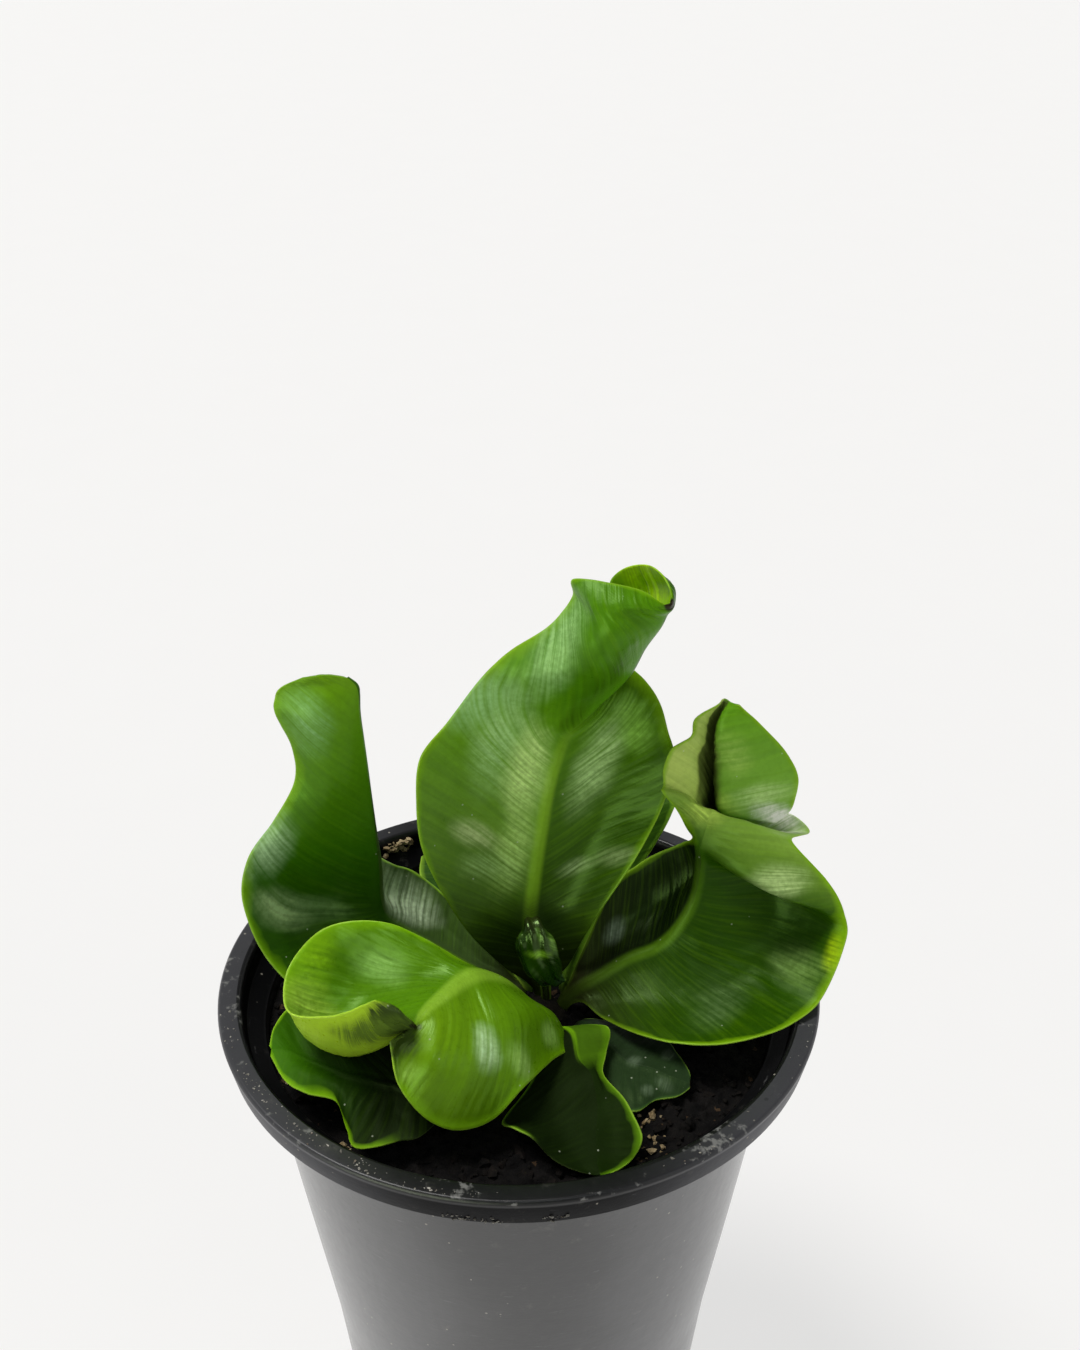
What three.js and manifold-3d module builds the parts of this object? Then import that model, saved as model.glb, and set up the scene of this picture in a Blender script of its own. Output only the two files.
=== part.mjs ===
// A young cobra bird's nest fern growing in a plain black nursery pot.
// Millimetres, +Z up, origin at the centre of the pot's underside. The front of the plant faces -Y.
import * as THREE from "three";
import { mergeVertices } from "three/addons/utils/BufferGeometryUtils.js";
import Module from "manifold-3d";

// The pot
const POT_HEIGHT = 125;
const RIM_RADIUS = 65;
const RIM_TOP_WIDTH = 5;
const SKIRT_DROP = 7;
const SKIRT_LEAN = 1.4;
const SHOULDER_RADIUS = 56.6;
const STEP_RADIUS = 44.8;
const STEP_DEPTH = 88;
const FOOT_RADIUS = 41;
const WALL = 1.4;
const FLOOR_TOP = 3.8;
const POT_SEGMENTS = 48;

// The underside: a flat boss and a flat foot ring with a shallow groove between them
const BOSS_RADIUS = 14;
const GROOVE_DEPTH = 2;
const FOOT_RING_INNER = 34;
const DRAIN_COUNT = 6;
const DRAIN_RADIUS = 4;
const DRAIN_CIRCLE = 24.5;

// The soil
const GAP = 0.3;
const SOIL_DEPTH = 10;
const SOIL_SEGMENTS = 48;
const SOIL_RINGS = 7;
const SOIL_RELIEF = 0.8;
const CRUMB_COUNT = 16;
const CRUMB_MIN = 1.0;
const CRUMB_MAX = 2.4;

// The crown, the scaly top of the rootstock that the stalks grow round
const CROWN_CENTRE = [5, -2];
const CROWN_RADIUS = 6.5;
const CROWN_TOP = -6.5;
const CROWN_BOTTOM = -15;
const STALK_HOLE = 2.5;

// The fronds
const BLADE = 0.8;
const KEEL = 1.5;
const KEEL_REACH = 1.5;
const STALK_BOTTOM = -17;

// Each frond is a list of ribs from its stalk to its tip, in mm from the centre of the rim's top face.
// A rib gives a point on the midrib, one on the left edge and one on the right edge, and then, for the
// left and the right half, how far it bows towards the upper face, or the point that it bows through.
// Left and right are as seen on the upper face with the tip pointing up. The keel under the midrib
// dies out at the share keelEnd of the length.
const FRONDS = {
  frond_back: {
    rows: 28,
    columns: 12,
    keelEnd: 0.55,
    ribs: [
      [[5, 4, -17], [3.5, 4, -17], [6.5, 4, -17], 0, 0],
      [[5, 4, -9], [3.5, 4, -9], [6.5, 4, -9], 0, 0],
      [[4.5, 4, -5], [1.5, 3.5, -5], [7.5, 3.5, -5], 0, 0],
      [[3.5, 4.5, 0], [-4, 3, 0.5], [11, 3, 0.5], -0.5, -0.5],
      [[2.5, 5, 10.5], [-12, 1, 13], [15.5, 1, 12.5], -1.5, -1.5],
      [[3.5, 7, 21.5], [-19.5, 1.5, 30], [24.5, 4, 27], -2, -2],
      [[5, 9, 32], [-21, 4, 42], [30, 9, 36], -2, -2],
      [[6.5, 11, 41], [-20, 7, 51.5], [33, 12, 46], -1.5, -2],
      [[8.5, 13, 48], [-14.5, 10, 58], [31.5, 14, 53.5], 0, -1],
      [[10.5, 15, 52], [-8, 13, 66], [30, 18.5, 57.5], 2, 0],
      [[13.5, 15, 55.5], [-4.5, 13.5, 70], [27, 23, 60.5], 3.5, 0],
      [[17, 15, 59.5], [-0.5, 14, 73.5], [21.5, 27, 64], 5, 1],
      [[22.5, 14, 66.5], [6, 14, 78], [19, 27, 70], 7, 3],
      [[26, 13, 74], [9, 15, 82], [19.5, 26, 77], 8, 4],
      [[28.5, 12, 79], [12, 16, 88], [22.5, 25, 85], 8, 4],
      [[30, 11, 82.5], [18, 13, 89.5], [27.5, 20, 89], 5, 3],
      [[30.5, 10, 85], [26, 9.5, 88], [31, 15, 88], 2, 1],
    ],
  },
  frond_left: {
    rows: 24,
    columns: 12,
    keelEnd: 0.35,
    ribs: [
      [[1, 2.5, -17], [0.2, 1.3, -17], [1.8, 3.7, -17], 0, 0],
      [[1, 2.5, -9], [0.2, 1.3, -9], [1.8, 3.7, -9], 0, 0],
      [[-2.5, 3.5, -5.5], [-3.8, 1.8, -5], [-1.5, 5.4, -4.5], 0, 0],
      [[-9, 5, -3.5], [-13.5, 0.5, -3.5], [-7.5, 9.5, 2], -1, -1],
      [[-18.5, 8, 1], [-26.5, -5, -0.5], [-15.5, 17, 7.5], -2, -2],
      [[-26, 11, 4.5], [-41.5, -6, -3], [-23, 21, 12], -3, -3],
      [[-29.5, 12, 7.5], [-50.5, -4, 3], [-28, 21, 14.5], -4, -3],
      [[-30.5, 12.5, 12], [-56, 0, 9.5], [-33, 22, 17.5], -5, -1],
      [[-30.5, 13, 19], [-59, 4, 18], [-36.5, 22, 23.5], -3, 0],
      [[-31, 13.5, 27], [-57.5, 7, 26.5], [-39.5, 22, 31], 0, 0],
      [[-31.5, 14, 35.5], [-52, 10, 34], [-41.5, 22, 38], 2, 0],
      [[-32, 14.5, 44], [-47, 12, 42.5], [-42, 23, 45], 3, 0],
      [[-32.5, 15, 51], [-47, 13, 50.5], [-43, 24, 51], 3, 0],
      [[-33, 15.5, 57], [-50, 14, 58.5], [-43, 24, 57], 3, 0],
      [[-33.5, 16, 61], [-48.5, 15, 63.5], [-41.5, 23.5, 61], 2, 0],
      [[-34, 16, 65], [-41, 15.5, 66.5], [-38.5, 21, 64], 1, 0],
    ],
  },
  frond_front: {
    rows: 24,
    columns: 14,
    keelEnd: 0.5,
    ribs: [
      [[3, -8, -17], [4.5, -8, -17], [1.5, -8, -17], 0, 0],
      [[3, -8, -9], [4.5, -8, -9], [1.5, -8, -9], 0, 0],
      [[2, -9, -3], [4.5, -10.5, -2.5], [0, -8, -2.5], 0, 0],
      [[0, -11.5, 4], [8.5, -19, 5], [-3.5, -9.5, 5], 2, 0],
      [[-4, -16, 12.5], [8.5, -29, 5], [-9, -14, 14], 3, 0],
      [[-8.5, -20.5, 17], [2, -38, 1.5], [-15, -15, 19], 4, 0],
      [[-11.5, -23, 17.5], [-4.5, -42, -1.5], [-28, -11.5, 24], 5, -1],
      [[-14, -26, 17.5], [-10.5, -45, -1], [-40, -12, 22.5], 5, [-29.5, -17, 14]],
      [[-16.5, -28.5, 17], [-16.5, -45, 0.5], [-47, -18, 17], 5, [-34, -21, 10.5]],
      [[-18.5, -31, 16.5], [-20.5, -44, 4.5], [-45, -28, 17], 4, [-38, -25.5, 6.5]],
      [[-19.5, -32.5, 16.5], [-23.5, -42.5, 9], [-37, -36, 20], 2.5, [-31.5, -30, 7.5]],
      [[-21, -34.5, 15.5], [-25.5, -39.5, 14.5], [-26.5, -37.5, 23.5], 1, [-25.5, -34.5, 14]],
    ],
  },
  frond_right: {
    rows: 30,
    columns: 14,
    keelEnd: 0.42,
    ribs: [
      [[9, -1, -17], [8, 0, -17], [10, -2, -17], 0, 0],
      [[9, -1, -9], [8, 0, -9], [10, -2, -9], 0, 0],
      [[12, -0.5, -4.5], [11, 2, -3.5], [13.5, -3.5, -5], 0, 0],
      [[17, 0, -1], [15.5, 7, 5], [18, -9.5, -4.5], -1, -1],
      [[23.5, 1, 3], [20.5, 12, 15], [26, -19, -1], -3, -3],
      [[30, 2, 5.5], [26.5, 14, 19], [36, -24, 1], -4, -5],
      [[34.5, 3, 10], [31.5, 14, 22.5], [49, -22, 1], -4, -7],
      [[38, 5, 16.5], [36, 13, 25.5], [62, -14, 2], -3, -8],
      [[39, 6, 25], [37.5, 12, 28], [68.5, -6, 11], -2, -8],
      [[39.5, 7.5, 32], [35.5, 9.5, 34], [69.5, -2, 18], 0, -4],
      [[40, 11.5, 35.5], [31, 7.5, 40], [61, 8.5, 27], 0, 0],
      [[42, 16, 34.5], [30.5, 8.5, 42.5], [62.5, 14.5, 26.5], [37, 12, 39.5], [47.5, 14.5, 32]],
      [[43, 18.5, 38], [30.5, 9, 46], [59, 15, 32.5], [37.5, 12, 43.5], [45, 13, 38.5]],
      [[43, 19, 43], [32, 9, 51], [60, 14, 40], [38, 12, 48], [43.5, 11.5, 45.5]],
      [[43, 18.5, 49], [35.5, 10, 54.5], [56, 14, 49], [39, 12, 52.5], [43.5, 11, 51.5]],
      [[43, 16.5, 55], [37.5, 12, 57], [50.5, 13, 56], [40, 13.5, 56], [44, 12, 57]],
      [[43, 14.5, 60.5], [41, 13, 59.5], [46.5, 13, 59.5], 0, 0],
    ],
  },
  frond_front_right: {
    rows: 18,
    columns: 10,
    keelEnd: 0.8,
    ribs: [
      [[7, -10, -17], [8.3, -9.5, -17], [5.7, -10.5, -17], 0, 0],
      [[7, -10, -9], [8.3, -9.5, -9], [5.7, -10.5, -9], 0, 0],
      [[8.5, -13.5, -3.5], [11.5, -12.5, -4], [6.5, -15.5, -3.5], 0, 0],
      [[10.5, -18.5, 0], [17.5, -16, -2], [6, -22.5, -1], 0, 0],
      [[12.5, -25, -0.5], [18, -20.5, -3.5], [1.5, -31.5, -3], 0, 0],
      [[14, -31, -2], [17.5, -28, -2.5], [-3.5, -39, -4.5], 0, -1],
      [[15, -36, -5], [20.5, -34, -2], [-1.5, -42, -3.5], 0, -2],
      [[15, -41, -6], [22.5, -39, -3.5], [2, -45, -3], -1, -2],
      [[15, -45, -7.5], [24, -44, -5], [5.5, -47, -6], -1, -1],
      [[15, -48, -8], [21.5, -47, -8], [9.5, -49, -7.5], -0.5, -0.5],
      [[15.5, -50, -8.5], [17, -50, -8.5], [14.5, -50, -8.5], 0, 0],
    ],
  },
  frond_low_right: {
    rows: 12,
    columns: 8,
    keelEnd: 0.8,
    ribs: [
      [[12.5, -5.5, -17], [13.5, -4.5, -17], [11.5, -6.5, -17], 0, 0],
      [[12.5, -5.5, -9.5], [13.5, -4.5, -9.5], [11.5, -6.5, -9.5], 0, 0],
      [[16, -10, -6.5], [19, -7.5, -7], [13.5, -13, -7.5], 0, 0],
      [[21.5, -20, -6.5], [24.5, -11.5, -7], [17, -30, -7.5], 0, 0],
      [[27.5, -24, -6.5], [30.5, -14.5, -7], [23.5, -34, -7.5], 0, 0],
      [[31.5, -26, -6.5], [33, -21.5, -7], [29, -31, -7.5], 0, 0],
      [[34.5, -27, -7.5], [35, -25.5, -7.5], [34.5, -28.5, -7.5], 0, 0],
    ],
  },
  frond_low_left: {
    rows: 16,
    columns: 8,
    keelEnd: 0.8,
    ribs: [
      [[0, -6, -17], [1, -7.2, -17], [-1, -4.8, -17], 0, 0],
      [[0, -6, -9.5], [1, -7.2, -9.5], [-1, -4.8, -9.5], 0, 0],
      [[-6, -13, -3], [-3, -18, -4], [-8, -8, -3], 0, 0],
      [[-19, -33.5, 0], [-18, -42, -5], [-24.5, -22.5, 2], -1, 0],
      [[-27, -34, 1], [-24.5, -45.5, -5], [-34, -21, 3], -1, 0],
      [[-32.5, -32, 1], [-32, -46, -4], [-39, -18, 3], 1, 1],
      [[-38.5, -29.5, 1], [-36, -36.5, -2], [-43.5, -15.5, 3], 1, 1],
      [[-43.5, -27, 1], [-41.5, -35.5, -1], [-48, -13.5, 3], 1, 0],
      [[-47.5, -25.5, 2], [-47, -32.5, 0], [-50.5, -19, 3], 0, 0],
      [[-50.5, -25, 2], [-50.5, -26.5, 2], [-51, -24, 2], 0, 0],
    ],
  },
  frond_rear: {
    rows: 14,
    columns: 8,
    keelEnd: 0.8,
    ribs: [
      [[10, 5, -17], [8.8, 6, -17], [11.2, 4, -17], 0, 0],
      [[10, 5, -9], [8.8, 6, -9], [11.2, 4, -9], 0, 0],
      [[11, 7, -3.5], [9, 8.4, -3.5], [13, 6.4, -3.5], 0, 0],
      [[12, 11, 3], [8, 13, 4], [16.5, 11, 3], 0, 0],
      [[15, 19, 13], [5, 21, 17], [27, 20, 13], -2, -2],
      [[18, 26, 22], [4, 28, 28], [34.5, 23, 27], -3, -2],
      [[20, 32, 31], [7, 35, 37], [35, 29, 30], -3, -2],
      [[21, 37, 36], [13, 39, 42], [31, 35, 36], -2, -1],
      [[22, 42, 38], [21, 42, 39], [24, 41, 38], 0, 0],
    ],
  },
  frond_rear_left: {
    rows: 12,
    columns: 8,
    keelEnd: 0.8,
    ribs: [
      [[2.5, 6.5, -17], [1.2, 5.8, -17], [3.8, 7.2, -17], 0, 0],
      [[2.5, 6.5, -9], [1.2, 5.8, -9], [3.8, 7.2, -9], 0, 0],
      [[-3, 14, -3], [-6.5, 12, -3], [1, 16, -2], -1, -1],
      [[-8, 23, -1], [-15, 20, -2], [-1, 28, 1], -1, -2],
      [[-13, 31, 1], [-20, 27, 0], [-6, 36, 3], -1, -2],
      [[-18, 38, 2], [-23, 35, 1], [-12, 41, 3], -1, -1],
      [[-22, 43, 1], [-23, 42, 1], [-20, 44, 1], 0, 0],
    ],
  },
  crozier: {
    rows: 16,
    columns: 8,
    keelEnd: 0.6,
    ribs: [
      [[6, 0, -17], [5, 0, -17], [7, 0, -17], 0, 0],
      [[6, 0, -9], [5, 0, -9], [7, 0, -9], 0, 0],
      [[5.5, 1, 0], [4, 0.5, 0], [7, 0.5, 0], 0, 0],
      [[5, 1.5, 7], [2, 1, 7], [8, 1, 7], 0, 0],
      [[3.5, 0.5, 12.5], [1, 0, 12], [6.5, 0, 12], -1, -1],
      [[4, -2.5, 13], [0, -1, 10.5], [7.5, -1, 10.5], -1, -1],
      [[4.5, -4.5, 10], [1, -3, 7.5], [8, -3, 7.5], -1, -1],
      [[6, -5.5, 6], [3.5, -4.5, 4], [9, -4, 5], -1, -1],
      [[7.5, -5.3, 3], [5.5, -4.5, 2], [9.5, -4.5, 3.5], 0, 0],
      [[9, -5, 1.5], [8, -4.8, 0.8], [9.8, -4.8, 2.2], 0, 0],
    ],
  },
};

const COLOURS = {
  pot: 0x232427,
  soil: 0x1d1612,
  crown: 0x33241a,
  frond: 0x2f6b1f,
  young: 0x4f8f2a,
};

const wasm = await Module();
wasm.setup();

// Turns a closed geometry into a solid that can be joined or cut.
function solidOf(geometry) {
  const bare = geometry.clone();
  bare.deleteAttribute("normal");
  bare.deleteAttribute("uv");
  const merged = mergeVertices(bare, 1e-4);
  return new wasm.Manifold(
    new wasm.Mesh({
      numProp: 3,
      vertProperties: merged.attributes.position.array,
      triVerts: new Uint32Array(merged.index.array),
    }),
  );
}

// Turns a solid back into a geometry.
function geometryOf(solid) {
  const { vertProperties, triVerts } = solid.getMesh();
  const geometry = new THREE.BufferGeometry();
  geometry.setAttribute("position", new THREE.BufferAttribute(vertProperties, 3));
  geometry.setIndex(new THREE.BufferAttribute(triVerts, 1));
  geometry.computeVertexNormals();
  return geometry;
}

// Drops the loose scraps that a cut can leave.
function largestBody(solid) {
  return solid.decompose().sort((a, b) => b.volume() - a.volume())[0];
}

// Spins a profile of [radius, height] points round the Z axis.
function spin(profile, segments) {
  const points = profile.map(([radius, height]) => new THREE.Vector2(radius, height));
  return new THREE.LatheGeometry(points, segments).rotateX(Math.PI / 2);
}

// An upright round peg that cuts a hole.
function peg(radius, x, y, bottom, top, sides) {
  const height = top - bottom;
  const shape = new THREE.CylinderGeometry(radius, radius, height, sides).rotateX(Math.PI / 2);
  return shape.translate(x, y, bottom + height / 2);
}

// A repeatable stream of numbers from 0 to 1.
function seeded(seed) {
  let state = seed;
  return () => {
    state = (state * 1664525 + 1013904223) % 4294967296;
    return state / 4294967296;
  };
}

// The pot's outer wall radius at a depth below the rim.
function outerRadius(depth) {
  const top = { depth: SKIRT_DROP, radius: SHOULDER_RADIUS };
  const step = { depth: STEP_DEPTH, radius: STEP_RADIUS };
  const foot = { depth: POT_HEIGHT, radius: FOOT_RADIUS };
  const [from, to] = depth < STEP_DEPTH ? [top, step] : [step, foot];
  const share = (depth - from.depth) / (to.depth - from.depth);
  return from.radius + share * (to.radius - from.radius);
}

function potGeometry() {
  const rimInner = RIM_RADIUS - RIM_TOP_WIDTH;
  const skirtBottom = RIM_RADIUS - SKIRT_LEAN;
  const profile = [
    [0, 0],
    [BOSS_RADIUS, 0],
    [BOSS_RADIUS + 1.5, GROOVE_DEPTH],
    [FOOT_RING_INNER - 1.5, GROOVE_DEPTH],
    [FOOT_RING_INNER, 0],
    [FOOT_RADIUS - 1, 0],
    [FOOT_RADIUS, 1],
    [STEP_RADIUS, POT_HEIGHT - STEP_DEPTH],
    [SHOULDER_RADIUS, POT_HEIGHT - SKIRT_DROP - 0.5],
    [rimInner + WALL - 0.6, POT_HEIGHT - SKIRT_DROP + 2],
    [rimInner + WALL, POT_HEIGHT - WALL],
    [skirtBottom - WALL + 0.6, POT_HEIGHT - WALL],
    [skirtBottom - WALL, POT_HEIGHT - SKIRT_DROP],
    [skirtBottom, POT_HEIGHT - SKIRT_DROP],
    [RIM_RADIUS, POT_HEIGHT - 0.7],
    [RIM_RADIUS - 0.5, POT_HEIGHT],
    [rimInner + 0.5, POT_HEIGHT],
    [rimInner, POT_HEIGHT - 0.7],
    [rimInner - 0.8, POT_HEIGHT - SKIRT_DROP + 2.4],
    [SHOULDER_RADIUS - WALL, POT_HEIGHT - SKIRT_DROP],
    [STEP_RADIUS - WALL, POT_HEIGHT - STEP_DEPTH],
    [FOOT_RADIUS - WALL, FLOOR_TOP],
    [0, FLOOR_TOP],
  ];
  let pot = solidOf(spin(profile, POT_SEGMENTS));
  for (let i = 0; i < DRAIN_COUNT; i++) {
    const turn = (i * 2 * Math.PI) / DRAIN_COUNT;
    const x = DRAIN_CIRCLE * Math.cos(turn);
    const y = DRAIN_CIRCLE * Math.sin(turn);
    pot = pot.subtract(solidOf(peg(DRAIN_RADIUS, x, y, -1, FLOOR_TOP + 1, 12)));
  }
  return geometryOf(pot);
}

// Lumps and hollows of the soil's surface.
function soilRelief(x, y) {
  const broad = Math.sin(0.21 * x + 0.6) * Math.cos(0.17 * y - 0.4);
  const fine = Math.sin(0.83 * x - 0.35 * y) * Math.sin(0.71 * y + 0.42 * x + 1.3);
  return SOIL_RELIEF * (0.7 * broad + 0.6 * fine);
}

// Crumbs of bark and grit that lie half sunk in the surface.
function crumbs() {
  const draw = seeded(7);
  const shapes = [];
  for (let i = 0; i < CRUMB_COUNT; i++) {
    const turn = i * 2.39996 + 0.3;
    const reach = 51 * Math.sqrt((i + 1) / CRUMB_COUNT);
    const x = reach * Math.cos(turn);
    const y = reach * Math.sin(turn);
    const size = CRUMB_MIN + draw() * (CRUMB_MAX - CRUMB_MIN);
    const shape = new THREE.IcosahedronGeometry(size, 0);
    shape.scale(1 + 0.5 * draw(), 1, 0.6 + 0.3 * draw());
    shape.rotateZ(draw() * Math.PI);
    shape.translate(x, y, POT_HEIGHT - SOIL_DEPTH + soilRelief(x, y) + 0.1 * size);
    shapes.push(solidOf(shape));
  }
  return shapes;
}

function soilGeometry(stalkHoles) {
  const edge = outerRadius(SOIL_DEPTH) - WALL - GAP;
  const top = POT_HEIGHT - SOIL_DEPTH;
  const profile = [
    [0, FLOOR_TOP + GAP],
    [FOOT_RADIUS - WALL - GAP, FLOOR_TOP + GAP],
    [STEP_RADIUS - WALL - GAP, POT_HEIGHT - STEP_DEPTH],
  ];
  for (let ring = 0; ring <= SOIL_RINGS; ring++) {
    profile.push([edge * (1 - ring / SOIL_RINGS), top]);
  }
  const body = spin(profile, SOIL_SEGMENTS);
  const points = body.attributes.position;
  for (let i = 0; i < points.count; i++) {
    const x = points.getX(i);
    const y = points.getY(i);
    const isInnerTop = points.getZ(i) > top - 0.01 && Math.hypot(x, y) < edge - 0.5;
    if (isInnerTop) points.setZ(i, top + soilRelief(x, y));
  }
  let soil = solidOf(body);
  for (const crumb of crumbs()) soil = soil.add(crumb);
  for (const hole of stalkHoles) soil = soil.subtract(solidOf(hole));
  const socket = crownBlank(CROWN_RADIUS + GAP, CROWN_BOTTOM - GAP).translate(0, 0, POT_HEIGHT);
  return geometryOf(largestBody(soil.subtract(solidOf(socket))));
}

// The crown before the stalk holes are cut, a low dome whose sides carry rows of blunt scales.
function crownBlank(radius, bottom) {
  const rows = [
    [1, bottom],
    [1, CROWN_TOP - 3.2],
    [0.82, CROWN_TOP - 1.6],
    [0.5, CROWN_TOP - 0.4],
  ].map(([share, height]) => [share * radius, height]);
  const profile = [[0, bottom], ...rows, [0, CROWN_TOP]];
  return spin(profile, 14).translate(CROWN_CENTRE[0], CROWN_CENTRE[1], 0);
}

function crownGeometry(stalkHoles) {
  let crown = solidOf(crownBlank(CROWN_RADIUS, CROWN_BOTTOM));
  for (const hole of stalkHoles) crown = crown.subtract(solidOf(hole));
  return geometryOf(largestBody(crown));
}

function countTo(last) {
  return Array.from({ length: last + 1 }, (_, i) => i);
}

// A smooth curve through a list of points, at a share from 0 to 1 of its length in points.
function along(points, share) {
  const last = points.length - 1;
  const place = Math.min(share * last, last - 1e-9);
  const i = Math.floor(place);
  const t = place - i;
  const before = points[i - 1] ?? points[0].clone().multiplyScalar(2).sub(points[1]);
  const after = points[i + 2] ?? points[last].clone().multiplyScalar(2).sub(points[last - 1]);
  const blend = (axis) => {
    const [a, b, c, d] = [before[axis], points[i][axis], points[i + 1][axis], after[axis]];
    const slope = c - a;
    const bend = 2 * a - 5 * b + 4 * c - d;
    const twist = 3 * b - a - 3 * c + d;
    return 0.5 * (2 * b + slope * t + bend * t * t + twist * t * t * t);
  };
  return new THREE.Vector3(blend("x"), blend("y"), blend("z"));
}

// The point that one half of a rib bows through, from a height above its chord or as given.
function bowPoint(middle, edge, heading, bow, side) {
  if (Array.isArray(bow)) return new THREE.Vector3(...bow);
  const chord = edge.clone().sub(middle);
  const up = chord.clone().cross(heading).normalize().multiplyScalar(side * bow);
  return middle.clone().addScaledVector(chord, 0.5).add(up);
}

// The five lines that a frond's surface follows: left edge, left bow, midrib, right bow, right edge.
function frondLines(ribs) {
  const middles = ribs.map((rib) => new THREE.Vector3(...rib[0]));
  const lefts = ribs.map((rib) => new THREE.Vector3(...rib[1]));
  const rights = ribs.map((rib) => new THREE.Vector3(...rib[2]));
  const headings = middles.map((point, i) => {
    const next = middles[i + 1] ?? point;
    const previous = middles[i - 1] ?? point;
    return next.clone().sub(previous).normalize();
  });
  const bows = (edges, column, side) =>
    ribs.map((rib, i) => bowPoint(middles[i], edges[i], headings[i], rib[column], side));
  return [lefts, bows(lefts, 3, -1), middles, bows(rights, 4, 1), rights];
}

// The frond's middle surface as rows of points from the left edge to the right edge.
function frondGrid({ ribs, rows, columns }) {
  const lines = frondLines(ribs);
  return countTo(rows).map((row) => {
    const rib = lines.map((line) => along(line, row / rows));
    return countTo(columns).map((column) => along(rib, column / columns));
  });
}

// The direction of the upper face at a point of the grid.
function upAt(grid, row, column) {
  const last = grid.length - 1;
  const edge = grid[0].length - 1;
  const lengthways = grid[Math.min(row + 1, last)][column].clone();
  lengthways.sub(grid[Math.max(row - 1, 0)][column]);
  const sideways = grid[row][Math.min(column + 1, edge)].clone();
  sideways.sub(grid[row][Math.max(column - 1, 0)]);
  return sideways.cross(lengthways).normalize();
}

// A closed blade: an upper face, and a lower face that is thicker under the midrib and at the stalk.
function frondGeometry(frond) {
  const grid = frondGrid(frond);
  const { rows, columns, keelEnd } = frond;
  const middle = columns / 2;
  const upper = [];
  const lower = [];
  grid.forEach((points, row) => {
    const keelHere = KEEL * Math.max(0, 1 - row / (keelEnd * rows));
    points.forEach((point, column) => {
      const up = upAt(grid, row, column);
      const reach = point.distanceTo(points[middle]) / KEEL_REACH;
      const keel = keelHere * Math.exp(-reach * reach);
      upper.push(...point.clone().addScaledVector(up, BLADE / 2));
      lower.push(...point.clone().addScaledVector(up, -BLADE / 2 - keel));
    });
  });
  const width = columns + 1;
  const under = (rows + 1) * width;
  const faces = [];
  const quad = (a, b, c, d) => faces.push(a, b, c, a, c, d);
  for (let row = 0; row < rows; row++) {
    for (let column = 0; column < columns; column++) {
      const a = row * width + column;
      const [b, c, d] = [a + 1, a + 1 + width, a + width];
      faces.push(a, b, c, a, c, d);
      faces.push(under + a, under + c, under + b, under + a, under + d, under + c);
    }
    const left = row * width;
    const right = left + columns;
    quad(left, left + width, under + left + width, under + left);
    quad(right, under + right, under + right + width, right + width);
  }
  for (let column = 0; column < columns; column++) {
    const base = column;
    const tip = rows * width + column;
    quad(base, under + base, under + base + 1, base + 1);
    quad(tip, tip + 1, under + tip + 1, under + tip);
  }
  const geometry = new THREE.BufferGeometry();
  const positions = new Float32Array([...upper, ...lower]);
  geometry.setAttribute("position", new THREE.BufferAttribute(positions, 3));
  geometry.setIndex(faces);
  geometry.computeVertexNormals();
  return geometry;
}

function material(colour, roughness) {
  return new THREE.MeshStandardMaterial({ color: colour, roughness, metalness: 0 });
}

function named(name, geometry, finish) {
  const mesh = new THREE.Mesh(geometry, finish);
  mesh.name = name;
  return mesh;
}

// A hole round each stalk, from its foot to above the soil.
function stalkHoles(base) {
  return Object.values(FRONDS).map(({ ribs }) => {
    const [x, y] = ribs[0][0];
    return peg(STALK_HOLE, x, y, base + STALK_BOTTOM - 1.5, base + 2, 10);
  });
}

const fern = new THREE.Group();
fern.add(named("pot", potGeometry(), material(COLOURS.pot, 0.45)));
fern.add(named("soil", soilGeometry(stalkHoles(POT_HEIGHT)), material(COLOURS.soil, 0.95)));

const plant = new THREE.Group();
plant.position.z = POT_HEIGHT;
plant.add(named("crown", crownGeometry(stalkHoles(0)), material(COLOURS.crown, 0.9)));
for (const [name, frond] of Object.entries(FRONDS)) {
  const colour = name === "crozier" ? COLOURS.young : COLOURS.frond;
  plant.add(named(name, frondGeometry(frond), material(colour, 0.35)));
}
fern.add(plant);

export default fern;
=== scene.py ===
import math

import bmesh
import bpy
import numpy as np
from mathutils import Euler, Matrix, Vector


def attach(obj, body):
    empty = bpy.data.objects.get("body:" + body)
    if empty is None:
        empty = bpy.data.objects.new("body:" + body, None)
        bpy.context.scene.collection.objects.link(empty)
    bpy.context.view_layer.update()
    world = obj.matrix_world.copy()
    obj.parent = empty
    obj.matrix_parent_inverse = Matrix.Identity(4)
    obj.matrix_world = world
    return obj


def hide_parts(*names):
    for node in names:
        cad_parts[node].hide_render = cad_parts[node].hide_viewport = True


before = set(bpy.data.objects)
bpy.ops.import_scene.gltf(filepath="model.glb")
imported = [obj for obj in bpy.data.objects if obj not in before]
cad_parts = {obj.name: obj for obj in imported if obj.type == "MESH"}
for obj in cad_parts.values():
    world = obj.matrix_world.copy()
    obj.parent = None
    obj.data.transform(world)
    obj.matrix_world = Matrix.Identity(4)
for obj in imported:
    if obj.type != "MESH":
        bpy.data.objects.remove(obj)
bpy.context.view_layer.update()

# A young cobra bird's nest fern in a plain black nursery pot.
# Lengths below are in millimetres from the centre of the rim's top face, unless a line says otherwise.

MM = 0.001
RIM_HEIGHT = 125

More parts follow.
